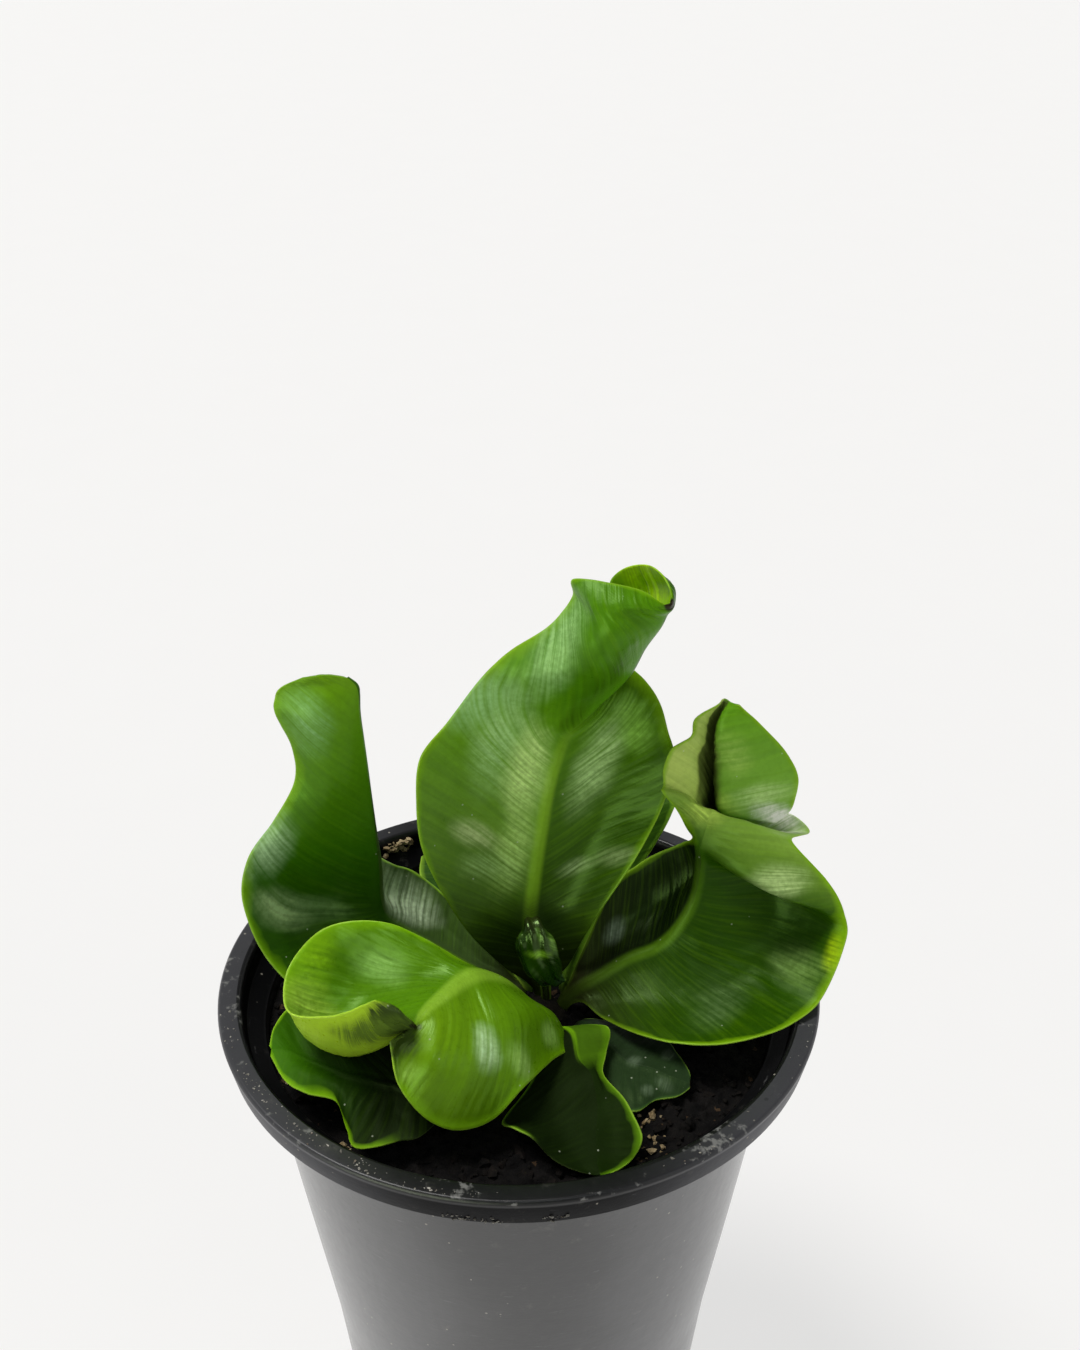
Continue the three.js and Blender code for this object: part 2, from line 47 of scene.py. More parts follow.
# The pot
RIM_RADIUS = 65
RIM_TOP_WIDTH = 5
SKIRT_DROP = 7
SKIRT_FOOT = RIM_HEIGHT - SKIRT_DROP
SKIRT_LEAN = 1.4
RIM_WIDENING = 3.8
SHOULDER_RADIUS = 56.6
STEP_RADIUS = 44.8
STEP_DEPTH = 88
FOOT_RADIUS = 41
WALL = 1.4
FLOOR_TOP = 3.8
BOSS_RADIUS = 14
GROOVE_DEPTH = 2
FOOT_RING_INNER = 34
DRAIN_COUNT = 6
DRAIN_RADIUS = 4
DRAIN_CIRCLE = 24.5
POT_SEGMENTS = 192
ROUNDING = 0.45

# The soil. Its lumps are given as height, seed and pitch.
SOIL_DEPTH = 10
SOIL_TOP = RIM_HEIGHT - SOIL_DEPTH
SOIL_GAP = 0.3
SOIL_RELIEF = 0.8
SOIL_LUMPS = [(0.5, 11, 3.1), (0.28, 12, 1.5), (0.16, 13, 0.8)]
SOIL_RINGS = 110
SOIL_SEGMENTS = 300
CRUMB_COUNT = 1500
CRUMB_REACH = 54.2
CHIP_COUNT = 26
CHIP_REACH = 53
BITS_PER_SPOT = 4
CRUMB_SEED = 21
BITS_SEED = 5
DUST_SEED = 17
WALL_CRUMBS = 40
WALL_CRUMB_TURN = 119.5

# The crown
CROWN_CENTRE = (5, -2)
CROWN_RADIUS = 6.3
CROWN_TOP = -6.6
CROWN_BOTTOM = -14.8

# The fronds
BLADE_MIDDLE = 0.72
BLADE_EDGE = 0.36
BLADE_TAPER = 4.0
KEEL = 1.4
KEEL_REACH = 1.5
RIDGE = 0.45
RIM_ROUND = 0.12
EDGE_WOBBLE = 0.004
WOBBLE_PITCH = 3.0
WOBBLE_COUNT = 10
SLANT_CHANGE = (0.35, 0.7)
HALVES_APART = 40
PLEAT_PITCH = 2.6
STRETCH_PITCH = 17
PATCH_PITCH = 13
CRUMPLE_PITCH = 11
FINE_CRUMPLE_PITCH = 4.2
STALK_FOOT = -17
STALK_TOP = -9

# The camera and the floor
CAMERA_BACK = 287.07
CAMERA_RISE = 241.45
CAMERA_PITCH = 30.08
CAMERA_YAW = 0.91
CAMERA_LENS = 45.33
FLOOR_METRES = 18

# Tones as they show on a screen, 0 to 255, for the fronds, the pot, the soil and the floor
CLOUD_TINT = (200, 214, 168)
VEIN_TINT = (150, 170, 150)
MOTTLE_TINT = (150, 165, 140)
EDGE_LINE_TONE = (168, 206, 70)
KEEL_TONE = (38, 30, 16)
# FOOT_TONE darkens each frond's foot: partly its own brownish tone, partly painted shade near the crown.
FOOT_TONE = (30, 26, 12)
TIP_TONE = (36, 26, 18)
LEAF_SPECK_TONE = (206, 214, 190)
# INSIDE_TONE: the plastic's own black inside the pot, also standing in for painted shade there.
INSIDE_TONE = (7, 7, 8)
SMUDGE_TONE = (150, 150, 146)
DUST_TONE = (120, 116, 108)
POT_SPECK_TONE = (176, 170, 158)
PIT_TONE = (26, 26, 28)
SCUFF_TONE = (150, 150, 150)
FLECK_TONE = (96, 74, 52)
# The film's tones: dark, and pale where painted reflection bands fall on it.
FILM_DARK = (8, 8, 10)
FILM_PALE = (60, 60, 62)
# The bare plastic's tones: its own black, and pale where a painted reflection lies on its sides.
BARE_DARK = (5, 5, 7)
BARE_PALE = (78, 78, 82)
PAPER_DARK = (120, 119, 118)
PAPER_PALE = (123, 122, 121)

# The tint of the fronds' sheen, as linear values
SHEEN_TINT = (0.62, 1.0, 0.34, 1)


def stalk(middle, left, right, top=STALK_TOP):
    """A frond's two lowest ribs, one right above the other."""
    return [[(*middle, height), (*left, height), (*right, height), 0, 0] for height in (STALK_FOOT, top)]


# Each frond is a list of ribs from its stalk to its tip. A rib gives a point on the midrib, one on the
# left edge and one on the right edge, and then, for the left and the right half, how far it bows
# towards the upper face, or the point that it bows through.
FRONDS = {
    "frond_back": [
        *stalk((5, 4), (3.5, 4), (6.5, 4)),
        [(4.5, 4, -5), (1.5, 3.5, -5), (7.5, 3.5, -5), 0, 0],
        [(3.5, 4.5, 0), (-4, 3, 0.5), (11, 3, 0.5), -0.5, -0.5],
        [(2.5, 5, 10.5), (-12, 1, 13), (15.5, 1, 12.5), -2, -2],
        [(3.5, 7, 21.5), (-19.5, 1.5, 30), (24.5, 4, 27), -3.5, -3.5],
        [(5, 9, 32), (-21, 4, 42), (30, 9, 36), -3.5, -4],
        [(6.5, 11, 41), (-20, 7, 51.5), (33, 12, 46), -2.5, -3.5],
        [(8.5, 13, 48), (-14.5, 10, 58), (31.5, 14, 53.5), 0, -1],
        [(10.5, 15, 52), (-8, 13, 66), (30, 18.5, 57.5), 2, 0],
        [(13.5, 15, 55.5), (-4.5, 13.5, 70), (27, 23, 60.5), 3.5, 0],
        [(17, 15, 59.5), (-0.5, 14, 73.5), (21.5, 27, 64), 5, 1],
        [(22.5, 14, 66.5), (6, 14, 78), (19, 27, 70), 7, 3],
        [(25.5, 13, 73.5), (9.5, 15, 81.5), (20, 26, 78), 8, 4],
        [(28.5, 12, 79), (11.5, 16, 84.5), (19.5, 25.5, 82.5), 8, 4],
        [(29.5, 11.5, 82), (11.5, 16, 88), (22.5, 24, 86.5), 6, 4],
        [(30.5, 11, 83.5), (19, 13, 88.5), (27, 19.5, 89), 4, 3],
        [(30.5, 11, 84), (25, 11.5, 87.5), (30, 15.5, 87.5), 2, 1],
        [(30.5, 10.5, 85), (28.5, 10, 85.5), (31, 12, 85.5), 0.3, 0],
    ],
    "frond_left": [
        *stalk((1, 2.5), (0.2, 1.3), (1.8, 3.7)),
        [(-2.5, 3.5, -5.5), (-3.8, 1.8, -5), (-1.5, 5.4, -4.5), 0, 0],
        [(-9, 5, -3.5), (-13.5, 0.5, -3.5), (-7.5, 9.5, 2), -1, -1],
        [(-18.5, 8, 1), (-26.5, -5, -0.5), (-15.5, 17, 7.5), -2, -2],
        [(-26, 11, 4.5), (-41.5, -6, -3), (-23, 21, 12), -3, -3],
        [(-29.5, 12, 7.5), (-50.5, -4, 3), (-28, 21, 14.5), -4, -3],
        [(-30.5, 12.5, 12), (-56, 0, 9.5), (-33, 22, 17.5), -5, -1],
        [(-30.5, 13, 19), (-59, 4, 18), (-36.5, 22, 23.5), -3, 0],
        [(-31, 13.5, 27), (-57.5, 7, 26.5), (-39.5, 22, 31), 0, 0],
        [(-31.5, 14, 35.5), (-52, 10, 34), (-41.5, 22, 38), 2, 0],
        [(-32, 14.5, 44), (-47, 12, 42.5), (-42, 23, 45), 3, 0],
        [(-32.5, 15, 51), (-47, 13, 50.5), (-43, 24, 50), 3, 0],
        [(-33, 15.5, 57.5), (-50, 14, 58.5), (-41.5, 24, 54.5), 3, 0],
        [(-33, 16, 61.5), (-50, 15, 61.5), (-39, 21, 59.5), 2, 0],
        [(-33.3, 16, 63.8), (-48.5, 15.5, 63.8), (-37, 19, 61.5), (-41, 15.5, 64), 0],
        [(-35, 16, 65.6), (-44, 16, 65.8), (-37, 18, 63.5), (-39.5, 16, 66.4), 0],
    ],
    "frond_front": [
        *stalk((3, -8), (4.5, -8), (1.5, -8)),
        [(2, -9, -3), (4.5, -10.5, -2.5), (0, -8, -2.5), 0, 0],
        [(0, -11.5, 4), (10.5, -19, -3), (-3.5, -9.5, 5), 2, 0],
        [(-4, -16, 12), (6.5, -28, 1), (-9, -14, 14), 3, 0],
        [(-8.5, -20.5, 17), (1, -38, 3.5), (-15, -15, 19), 4, 0],
        [(-11.5, -23, 17.5), (-5, -42, -1), (-28, -11.5, 24), 5, -1],
        [(-14, -26, 17.5), (-11.5, -45, -1), (-40, -12, 22.5), 5, (-29.5, -17, 14)],
        [(-16.5, -28.5, 17), (-17, -45, 1), (-47, -18, 17), 5, (-34.5, -21, 9.5)],
        [(-18.5, -31, 16.5), (-21, -44, 5), (-46, -27, 14), 4, (-40, -26, 5.5)],
        [(-19.5, -32.5, 15.5), (-24, -42, 10), (-36.5, -35.5, 20), 2.5, (-32.5, -30, 5)],
        [(-20, -34, 14.5), (-25, -39, 16.5), (-27.5, -38, 26), 1, (-23, -37.5, 23)],
    ],
    "frond_right": [
        *stalk((9, -1), (8, 0), (10, -2)),
        [(12, -0.5, -4.5), (11, 2, -3.5), (13.5, -3.5, -5), 0, 0],
        [(17, 0, -1), (15.5, 7, 5), (18, -9.5, -4.5), -1, -1],
        [(23.5, 1, 3), (20.5, 12, 15), (26, -19, -1), -3, -3],
        [(30, 2, 5.5), (26.5, 14, 19), (36, -24, 1), -4, -5],
        [(34.5, 3, 10), (31.5, 14, 22.5), (49, -22, 1), -4, -7],
        [(38, 5, 16.5), (36, 13, 25.5), (62, -14, 2), -3, -8],
        [(39, 6, 25), (37.5, 11, 28), (69, -6, 12.5), -2, -8],
        [(39, 6, 29.5), (36, 9, 32), (69, -2, 17.5), 0, (51.5, -2.5, 24.5)],
        [(40, 7, 34), (33, 7.5, 38.5), (65, 1.5, 24), (36.5, 8, 36), (51, 2.5, 31)],
        [(41, 8.5, 36.5), (30, 6.5, 43), (58, 6, 30.5), (35, 8, 40), (48.5, 7, 34.5)],
        [(42, 15, 30), (30.5, 8.5, 43), (63.5, 14.5, 27), (36.5, 10, 39), (50, 13.5, 27)],
        [(43, 17, 29.5), (30.5, 9, 43.5), (59, 15.5, 31), (37, 10.5, 38.5), (47, 12.5, 30.5)],
        [(43, 18, 29.5), (30.5, 9, 44), (55.5, 12, 31), (37.5, 11, 38.5), (44.5, 11, 34.5)],
        [(43, 18.5, 34.5), (30.5, 9, 47), (59, 14, 33.5), (37.5, 11.5, 43.5), (43.5, 11, 37.5)],
        [(42.5, 18.5, 42), (32, 9, 52), (60, 14, 40.5), (37.5, 12, 48.5), (43, 11, 46.5)],
        [(42.5, 18, 48), (36, 10, 54.5), (56.5, 14, 48), (38.5, 12.5, 52), (42.5, 11, 52.5)],
        [(42.5, 16.5, 54), (37, 12, 57.5), (50.5, 13, 55.5), (39, 13, 57), (42.5, 12, 57)],
        [(43, 14.5, 60.5), (41.5, 13, 60), (46, 13, 60), 0, 0],
    ],
    "frond_front_right": [
        *stalk((7, -10), (8.3, -9.5), (5.7, -10.5)),
        [(8.5, -13.5, -3.5), (11.5, -12.5, -4), (6.5, -15.5, -3.5), 0, 0],
        [(11, -18.5, -0.5), (18.5, -16, -1), (6, -22.5, -1), 0, 0],
        [(12, -24.5, -2), (18, -21, -3.5), (1.5, -31.5, -3), 0, 0],
        [(14.5, -30, -1.5), (17, -28.5, -2.5), (-3.5, -39, -4.5), 0, -1],
        [(15.5, -36, -4.5), (20.5, -34, -3), (-1.5, -42, -3.5), 0, -2],
        [(15, -41, -6), (22.5, -39, -3.5), (2, -45, -3), -1, -2],
        [(15, -45, -7.5), (24, -44, -5), (5.5, -47, -6), -1, -1],
        [(15, -48, -8), (21.5, -47, -8), (9.5, -49, -7.5), -0.5, -0.5],
        [(15.5, -50, -8.5), (17, -50, -8.5), (14.5, -50, -8.5), 0, 0],
    ],
    "frond_low_right": [
        *stalk((12.5, -5.5), (13.5, -4.5), (11.5, -6.5), -9.5),
        [(16, -10, -6.5), (19, -7.5, -7), (13.5, -13, -7.5), 0, 0],
        [(21.5, -20, -6.5), (24.5, -11.5, -6.5), (17, -30, -7.5), 0, 0],
        [(27, -23.5, -6), (30.5, -14.5, -5.5), (23, -34, -7.5), 0, 0],
        [(31, -26, -6), (33, -19.5, -5.5), (27.5, -31, -7.5), 0, 0],
        [(34, -27, -6.5), (35, -24, -6), (32, -30, -7.5), 0, 0],
        [(35, -27, -6.5), (35, -26, -6.5), (35, -28, -7), 0, 0],
    ],
    "frond_low_left": [
        *stalk((0, -6), (1, -7.2), (-1, -4.8), -9.5),
        [(-6, -13, -3), (-3, -18, -4), (-8, -8, -3), 0, 0],
        [(-19, -33.5, 0), (-17.5, -42, -3), (-24.5, -22.5, 2), -1, 0],
        [(-26, -34, 0.5), (-24, -45, -4), (-34, -21, 3), -1, 0],
        [(-29.5, -33, 0.5), (-32, -46, -4.5), (-36, -19.5, 3), 0.5, 0.5],
        [(-34, -32, 1), (-34, -42, -3.5), (-39, -18, 3), 1, 1],
        [(-38.5, -29.5, 1), (-36.5, -36.5, -1.5), (-43.5, -15.5, 3), 1, 1],
        [(-43.5, -27, 1), (-42.5, -35.5, 0), (-48, -13.5, 3), 1, 0],
        [(-47.5, -25.5, 2), (-47, -32.5, 0.5), (-50.5, -19, 3), 0, 0],
        [(-50.5, -25, 2), (-50.5, -26.5, 1.5), (-51, -24, 2), 0, 0],
    ],
    "frond_rear": [
        *stalk((10, 5), (8.8, 6), (11.2, 4)),
        [(11, 7, -3.5), (9, 8.4, -3.5), (13, 6.4, -3.5), 0, 0],
        [(12, 11, 3), (8, 13, 4), (16.5, 11, 3), 0, 0],
        [(15, 19, 13), (5, 21, 17), (27, 20, 13), -2, -2],
        [(18, 26, 22), (4, 28, 28), (34.5, 23, 27), -3, -2],
        [(20, 32, 31), (7, 35, 37), (35, 29, 30), -3, -2],
        [(21, 37, 36), (13, 39, 42), (31, 35, 36), -2, -1],
        [(22, 42, 38), (21, 42, 39), (24, 41, 38), 0, 0],
    ],
    "frond_rear_left": [
        *stalk((2.5, 6.5), (1.2, 5.8), (3.8, 7.2)),
        [(-3, 14, -3), (-6.5, 12, -3), (1, 16, -2), -1, -1],
        [(-8, 23, -1), (-15, 20, -2), (-1, 28, 1), -1, -2],
        [(-13, 31, 1), (-20, 27, 0), (-6, 36, 3), -1, -2],
        [(-18, 38, 2), (-23, 35, 1), (-12, 41, 3), -1, -1],
        [(-22, 43, 1), (-23, 42, 1), (-20, 44, 1), 0, 0],
    ],
    "crozier": [
        *stalk((6, 0), (5, 0), (7, 0)),
        [(5.5, 1, 0), (4.5, 0.5, 0), (6.5, 0.5, 0), 0, 0],
        [(4.5, 1.5, 7), (3.5, 1, 7), (6, 1, 7), 0, 0],
        [(3, 0.5, 14), (2, 0, 13.5), (4, 0, 13.5), -0.5, -0.5],
        [(3, -1.5, 15.5), (2, -1, 14), (4.5, -1, 14), -1, -1],
        [(4, -4, 14), (-0.5, -2, 10), (7, -2, 11), -2, -1.5],
        [(4.5, -5.5, 10.5), (0.5, -3, 7), (8, -2.5, 7), -1.5, -2],
        [(6, -6, 7), (2, -4, 3.5), (8.5, -3.5, 4), -1.5, -1.5],
        [(7, -6, 4), (5, -4.5, 1), (9.5, -4.5, 3.5), -0.5, -0.5],
        [(9, -5.5, 2), (8, -5, 1), (10, -5, 2.5), 0, 0],
    ],
}

def tone(red, green, blue):
    """A colour as it shows on a screen, 0 to 255, turned into the linear values that a shader takes."""
    parts = [value / 255 for value in (red, green, blue)]
    linear = [p / 12.92 if p <= 0.04045 else ((p + 0.055) / 1.055) ** 2.4 for p in parts]
    return (*linear, 1)


# What a frond looks like where its own entry in LOOKS doesn't say otherwise.
PLAIN_LOOK = {
    "keel_end": 0.8,
    "ridge": 1.0,
    "ripple_pitch": 2.4,
    "pleat": 0.0,
    "slant": (0.3, 0.3),
    "veins": 1.0,
    "margin_from": 0.05,
    "rib_end": 0.8,
    "under": (150, 176, 96),
    "under_share": 0.35,
    "foot": 0.24,
    "tip": 1.2,
    "dusty": 0.0,
    "dull": 0.0,
    "glows": [],
    "stains": [],
}

# How each frond looks. Lengths are in mm, colours are 0 to 255, and places along a frond are shares of its
# length. left and right: stops of (share, colour) along each half; their darkest stops are partly painted
# shade where a half lies in shadow near the crown or under other fronds. margin_widths: on the left and the
# right. keel_end, rib_end, right_end: where the keel, the pale midrib and the right margin die out. foot and
# tip: where the darkened foot, its own brownish tone with painted shade, ends and the brown tip starts.
# slant: how much the side veins lean, low and high on the frond. swell: where the margin widens, how far to
# each side, and how many times. fold: where painted shade in a fold starts, how far out it reaches on each
# half, and its colour. glows: both ends of a painted patch, its radius, strength and colour; the light ones
# are painted sheen and highlights, the dark ones painted shade. stains: centre, radius and colour.
LOOKS = {
    "frond_back": {
        "rows": 240, "columns": 80, "keel_end": 0.55, "margin": (120, 172, 10),
        "margin_widths": (1.3, 1.7), "swell": (0.6, 0.22, 1.9), "rib": (130, 178, 34), "rib_width": 2.0,
        "ripple": 0.24, "ripple_pitch": 2.2, "foot": 0.29, "margin_from": 0.24, "veins": 1.5,
        # Its bright yellow-green underside is partly its own tone and partly painted light shining through
        # the rolled tip.
        "gloss": 0.2, "dull": -0.04, "under": (128, 182, 4), "under_share": 0.85, "rib_end": 0.5,
        "slant": (0.42, 1.0),
        "left": [
            (0.0, (30, 42, 14)), (0.2, (46, 76, 10)), (0.32, (106, 150, 44)), (0.45, (112, 168, 30)),
            (0.62, (80, 136, 12)), (1.0, (84, 140, 6)),
        ],
        "right": [
            (0.0, (30, 42, 14)), (0.22, (44, 72, 8)), (0.4, (76, 122, 12)), (0.5, (98, 150, 24)),
            (0.65, (44, 84, 0)), (1.0, (60, 112, 0)),
        ],
        "stains": [
            ((30.5, 10.5, 85.0), 1.6, (38, 26, 20)),
        ],
        "glows": [
            ((-2, 12, 63), (-5, 10.5, 44), 9, 0.8, (166, 212, 128)),
            ((3.5, 12, 53), (0, 10.5, 38), 7, 0.9, (204, 240, 140)),
            ((1, 10, 36), (-3, 6.5, 19), 6, 0.75, (180, 220, 116)),
            ((-13.5, 7.5, 34), (-5, 8.5, 29), 4, 0.7, (190, 212, 140)),
            ((-10, 6, 25), (-3, 8, 23), 5, 0.6, (160, 198, 116)),
            ((20.5, 16, 54), (13, 12, 36), 6.5, 0.8, (184, 222, 140)),
            ((24, 17, 58), (25.5, 14, 50), 5, 0.7, (146, 204, 76)),
            ((9, 8, 21.5), (16, 8, 24.5), 2.6, 0.6, (160, 188, 124)),
            ((17, 8, 25), (26, 5.5, 28), 3, 0.5, (170, 196, 128)),
            ((-12, 11, 61), (-4, 12, 64), 8, 0.8, (150, 200, 122)),
            ((2, 5, 12), (9, 5, 10), 7, 0.6, (40, 62, 24)),
            ((13, 13, 84), (4, 10, 66), 7, 0.85, (156, 204, 122)),
            ((23, 9.5, 81), (14, 11, 60), 6, 0.85, (46, 86, 0)),
            ((14, 12, 60), (10, 14, 53), 4, 0.7, (44, 78, 0)),
            ((25, 21.6, 87), (28.7, 20, 83), 7, 0.9, (206, 252, 14)),
        ],
    },
    "frond_left": {
        "rows": 220, "columns": 80, "keel_end": 0.35, "margin": (116, 170, 10),
        "margin_widths": (2.1, 0.6), "rib": (96, 140, 24), "rib_width": 1.2, "gloss": 0.24,
        "ripple": 0.2, "rib_end": 0.3, "slant": (0.1, 1.1),
        "left": [
            (0.0, (40, 66, 14)), (0.42, (38, 80, 2)), (0.55, (56, 112, 2)), (0.75, (94, 148, 14)),
            (1.0, (114, 164, 14)),
        ],
        "right": [(0.0, (60, 80, 40)), (0.5, (70, 96, 40)), (1.0, (60, 104, 14))],
        "glows": [
            ((-52, 9, 33), (-55, 8, 25), 7, 0.85, (170, 208, 150)),
            ((-42.5, 11.5, 54), (-44, 13, 60), 7, 0.65, (140, 192, 116)),
            ((-55, 6, 16), (-49, 9, 10), 6, 0.9, (176, 210, 140)),
            ((-48, 9, 12), (-38, 10.5, 9), 4, 0.7, (120, 156, 92)),
            ((-29, 18.5, 11), (-22, 15.5, 4), 7, 1.0, (214, 232, 196)),
        ],
    },
    "frond_front": {
        "rows": 200, "columns": 90, "keel_end": 0.5, "margin": (124, 180, 6),
        "margin_widths": (2.4, 3.2), "rib": (138, 182, 48), "rib_width": 3.3, "ripple": 0.1,
        # Its pale underside on the lip is partly its own tone and partly painted light shining through the
        # leaf.
        "ripple_pitch": 2.2, "rib_end": 0.95, "dull": -0.05, "gloss": 0.3, "under": (194, 236, 56),
        "under_share": 0.9, "ridge": 1.7,
        "left": [
            (0.0, (74, 104, 20)), (0.35, (96, 144, 8)), (0.6, (98, 142, 10)), (1.0, (112, 154, 10)),
        ],
        "right": [
            (0.0, (60, 88, 20)), (0.5, (88, 138, 6)), (0.85, (90, 142, 6)), (1.0, (124, 168, 16)),
        ],
        "stains": [
            ((-20, -35, 17), 1.5, (36, 30, 20)),
        ],
        "glows": [
            ((-40, -29, 10), (-44, -22, 13), 8, 0.75, (206, 244, 90)),
            ((-34, -32, 10), (-38, -30, 8), 5, 0.6, (176, 220, 50)),
            ((-25, -38, 21), (-24, -36, 16), 7, 2.5, (62, 80, 32)),
            ((-33, -33, 14), (-26, -37, 17), 7, 1.4, (104, 132, 44)),
            ((-24, -42, 11), (-21, -41, 11), 3, 0.45, (140, 180, 70)),
            ((-32, -15.5, 16), (-24, -18, 16), 5, 0.6, (156, 206, 106)),
            ((-7, -34, 13.5), (-6, -37, 9), 4, 0.9, (190, 226, 166)),
            ((1.5, -36, 5), (-2, -34, 10), 3.5, 0.7, (156, 200, 96)),
            ((5, -25, 5), (6, -23, 3), 4, 0.8, (156, 200, 96)),
            ((-41, -15, 19), (-43, -18, 14), 6, 0.6, (150, 206, 20)),
        ],
    },
    "frond_right": {
        "rows": 260, "columns": 90, "keel_end": 0.38, "margin": (128, 178, 8),
        "margin_widths": (1.0, 1.2), "swell": (0.47, 0.13, 3.4), "rib": (96, 140, 22), "rib_width": 1.9,
        "ripple": 0.2, "ripple_pitch": 3.0, "foot": 0.27, "rib_end": 0.4, "slant": (0.4, 0.4),
        "fold": (0.67, 0.6, 0.34, (74, 88, 36)), "gloss": 0.16,
        # The near-black stops low on the left half are painted shade inside the cupped blade.
        "left": [
            (0.0, (34, 52, 12)), (0.2, (18, 34, 8)), (0.42, (16, 32, 6)), (0.48, (60, 102, 10)),
            (0.57, (134, 172, 64)), (0.68, (200, 222, 112)), (1.0, (184, 208, 104)),
        ],
        "right": [
            (0.0, (46, 72, 14)), (0.3, (42, 78, 2)), (0.46, (46, 88, 2)), (0.53, (120, 158, 54)),
            (0.58, (146, 184, 74)), (0.74, (136, 184, 70)), (1.0, (104, 166, 20)),
        ],
        "glows": [
            ((63, -7.5, 6.5), (57, -2, 5), 6.5, 0.55, (138, 176, 90)),
            ((43, -10, 2), (38, -15, 4), 8, 0.4, (110, 136, 92)),
            ((57, 13.2, 38), (47, 11.5, 38), 5, 0.7, (196, 228, 146)),
            ((60.5, 14.5, 28), (52, 12.2, 34.5), 4.6, 1.2, (255, 255, 244)),
            ((59, -0.5, 25), (51, -2.5, 26), 5.5, 0.75, (196, 224, 146)),
            ((36, 7.5, 38), (44, 10, 36), 5, 0.8, (200, 232, 100)),
            ((67, -5, 13), (65.5, -8, 8), 3, 0.6, (190, 226, 20)),
            ((22, 8, 7), (20, 6.5, 4.5), 3, 0.6, (120, 136, 116)),
            ((43.5, 12, 52), (46, 12, 46), 5, 0.55, (180, 216, 104)),
        ],
    },
    "frond_front_right": {
        "rows": 150, "columns": 54, "margin": (96, 144, 12), "margin_widths": (1.9, 0.8),
        "rib": (112, 164, 14), "rib_width": 0.8, "ripple": 0.1, "rib_end": 0.36, "ridge": 0.2,
        "dull": 0.3, "gloss": 0.1, "veins": 0.12, "right_end": 0.62,
        # This frond is painted near-black as painted shade under the fronds above it; only the low stops on
        # its left half, where it catches light, are lighter.
        "left": [
            (0.0, (60, 92, 16)), (0.4, (74, 110, 16)), (0.48, (18, 34, 4)), (0.8, (16, 30, 3)),
            (1.0, (20, 40, 2)),
        ],
        "right": [(0.0, (14, 20, 6)), (0.5, (15, 26, 5)), (1.0, (16, 30, 4))],
    },
    "frond_low_right": {
        "rows": 110, "columns": 50, "margin": (60, 96, 40), "margin_widths": (0.6, 0.8),
        "rib": (34, 58, 26), "rib_width": 0.8, "ripple": 0.12, "ripple_pitch": 2.2, "tip": 0.985,
        "rib_end": 0.2, "dusty": 0.5, "gloss": 0.15, "ridge": 0.25, "veins": 0.4,
        "left": [(0.0, (26, 36, 22)), (1.0, (44, 64, 38))],
        "right": [(0.0, (34, 48, 28)), (1.0, (42, 62, 36))],
        "glows": [
            ((24, -21, -6.2), (24, -21, -6.2), 2.4, 0.5, (104, 122, 96)),
            ((29, -27, -6.2), (30, -28, -6.2), 2.2, 0.45, (98, 116, 90)),
            ((31, -20, -5.6), (31, -20, -5.6), 2.2, 0.6, (104, 122, 96)),
            ((26, -29, -6.5), (26, -29, -6.5), 2, 0.6, (104, 122, 96)),
        ],
    },
    "frond_low_left": {
        "rows": 160, "columns": 60, "margin": (130, 186, 8), "margin_widths": (1.7, 1.2),
        "rib": (36, 66, 12), "rib_width": 0.8, "ripple": 0.14, "ripple_pitch": 2.6, "rib_end": 0.2,
        "margin_from": 0.42, "dull": 0.2, "gloss": 0.12, "veins": 0.25,
        # Its lower stops are near-black as painted shade under the front frond.
        "left": [(0.0, (10, 16, 4)), (0.45, (8, 17, 2)), (0.66, (20, 48, 0)), (1.0, (66, 120, 4))],
        "right": [(0.0, (10, 16, 4)), (0.42, (10, 20, 3)), (0.66, (22, 50, 1)), (1.0, (60, 112, 4))],
    },
    "frond_rear": {
        "rows": 120, "columns": 50, "margin": (120, 168, 40), "margin_widths": (1.2, 1.4),
        "rib": (100, 140, 40), "rib_width": 1.2, "ripple": 0.14, "gloss": 0.2,
        "left": [(0.0, (40, 64, 18)), (1.0, (52, 92, 16))],
        "right": [(0.0, (40, 64, 18)), (1.0, (60, 100, 22))],
    },
    "frond_rear_left": {
        "rows": 100, "columns": 44, "margin": (126, 166, 44), "margin_widths": (1.0, 1.0),
        "rib": (80, 120, 30), "rib_width": 1.0, "ripple": 0.12, "gloss": 0.2,
        "left": [(0.0, (40, 66, 24)), (1.0, (48, 84, 26))],
        "right": [(0.0, (40, 66, 24)), (1.0, (52, 92, 22))],
    },
    "crozier": {
        "rows": 130, "columns": 44, "keel_end": 0.6, "margin": (110, 160, 30),
        "margin_widths": (0.5, 0.5), "rib": (50, 80, 16), "rib_width": 0.7, "ripple": 0.08,
        "ripple_pitch": 1.8, "under": (18, 38, 4), "under_share": 0.6, "pleat": 0.22, "dull": -0.14,
        "gloss": 0.6,
        "left": [
            (0.0, (6, 10, 4)), (0.35, (8, 16, 4)), (0.55, (14, 34, 2)), (0.75, (40, 84, 6)),
            (1.0, (26, 60, 14)),
        ],
        "right": [
            (0.0, (6, 10, 4)), (0.35, (8, 16, 4)), (0.55, (16, 40, 2)), (0.8, (26, 62, 6)),
            (1.0, (40, 80, 30)),
        ],
        "glows": [
            ((6, -3.6, 14.5), (8.3, -4.5, 7.5), 1.5, 0.9, (120, 164, 64)),
            ((2, -5.5, 10.3), (6.2, -5.6, 10), 1.5, 0.95, (140, 192, 50)),
            ((2.5, -5.8, 7), (5.8, -5.3, 3), 1.6, 0.8, (126, 150, 96)),
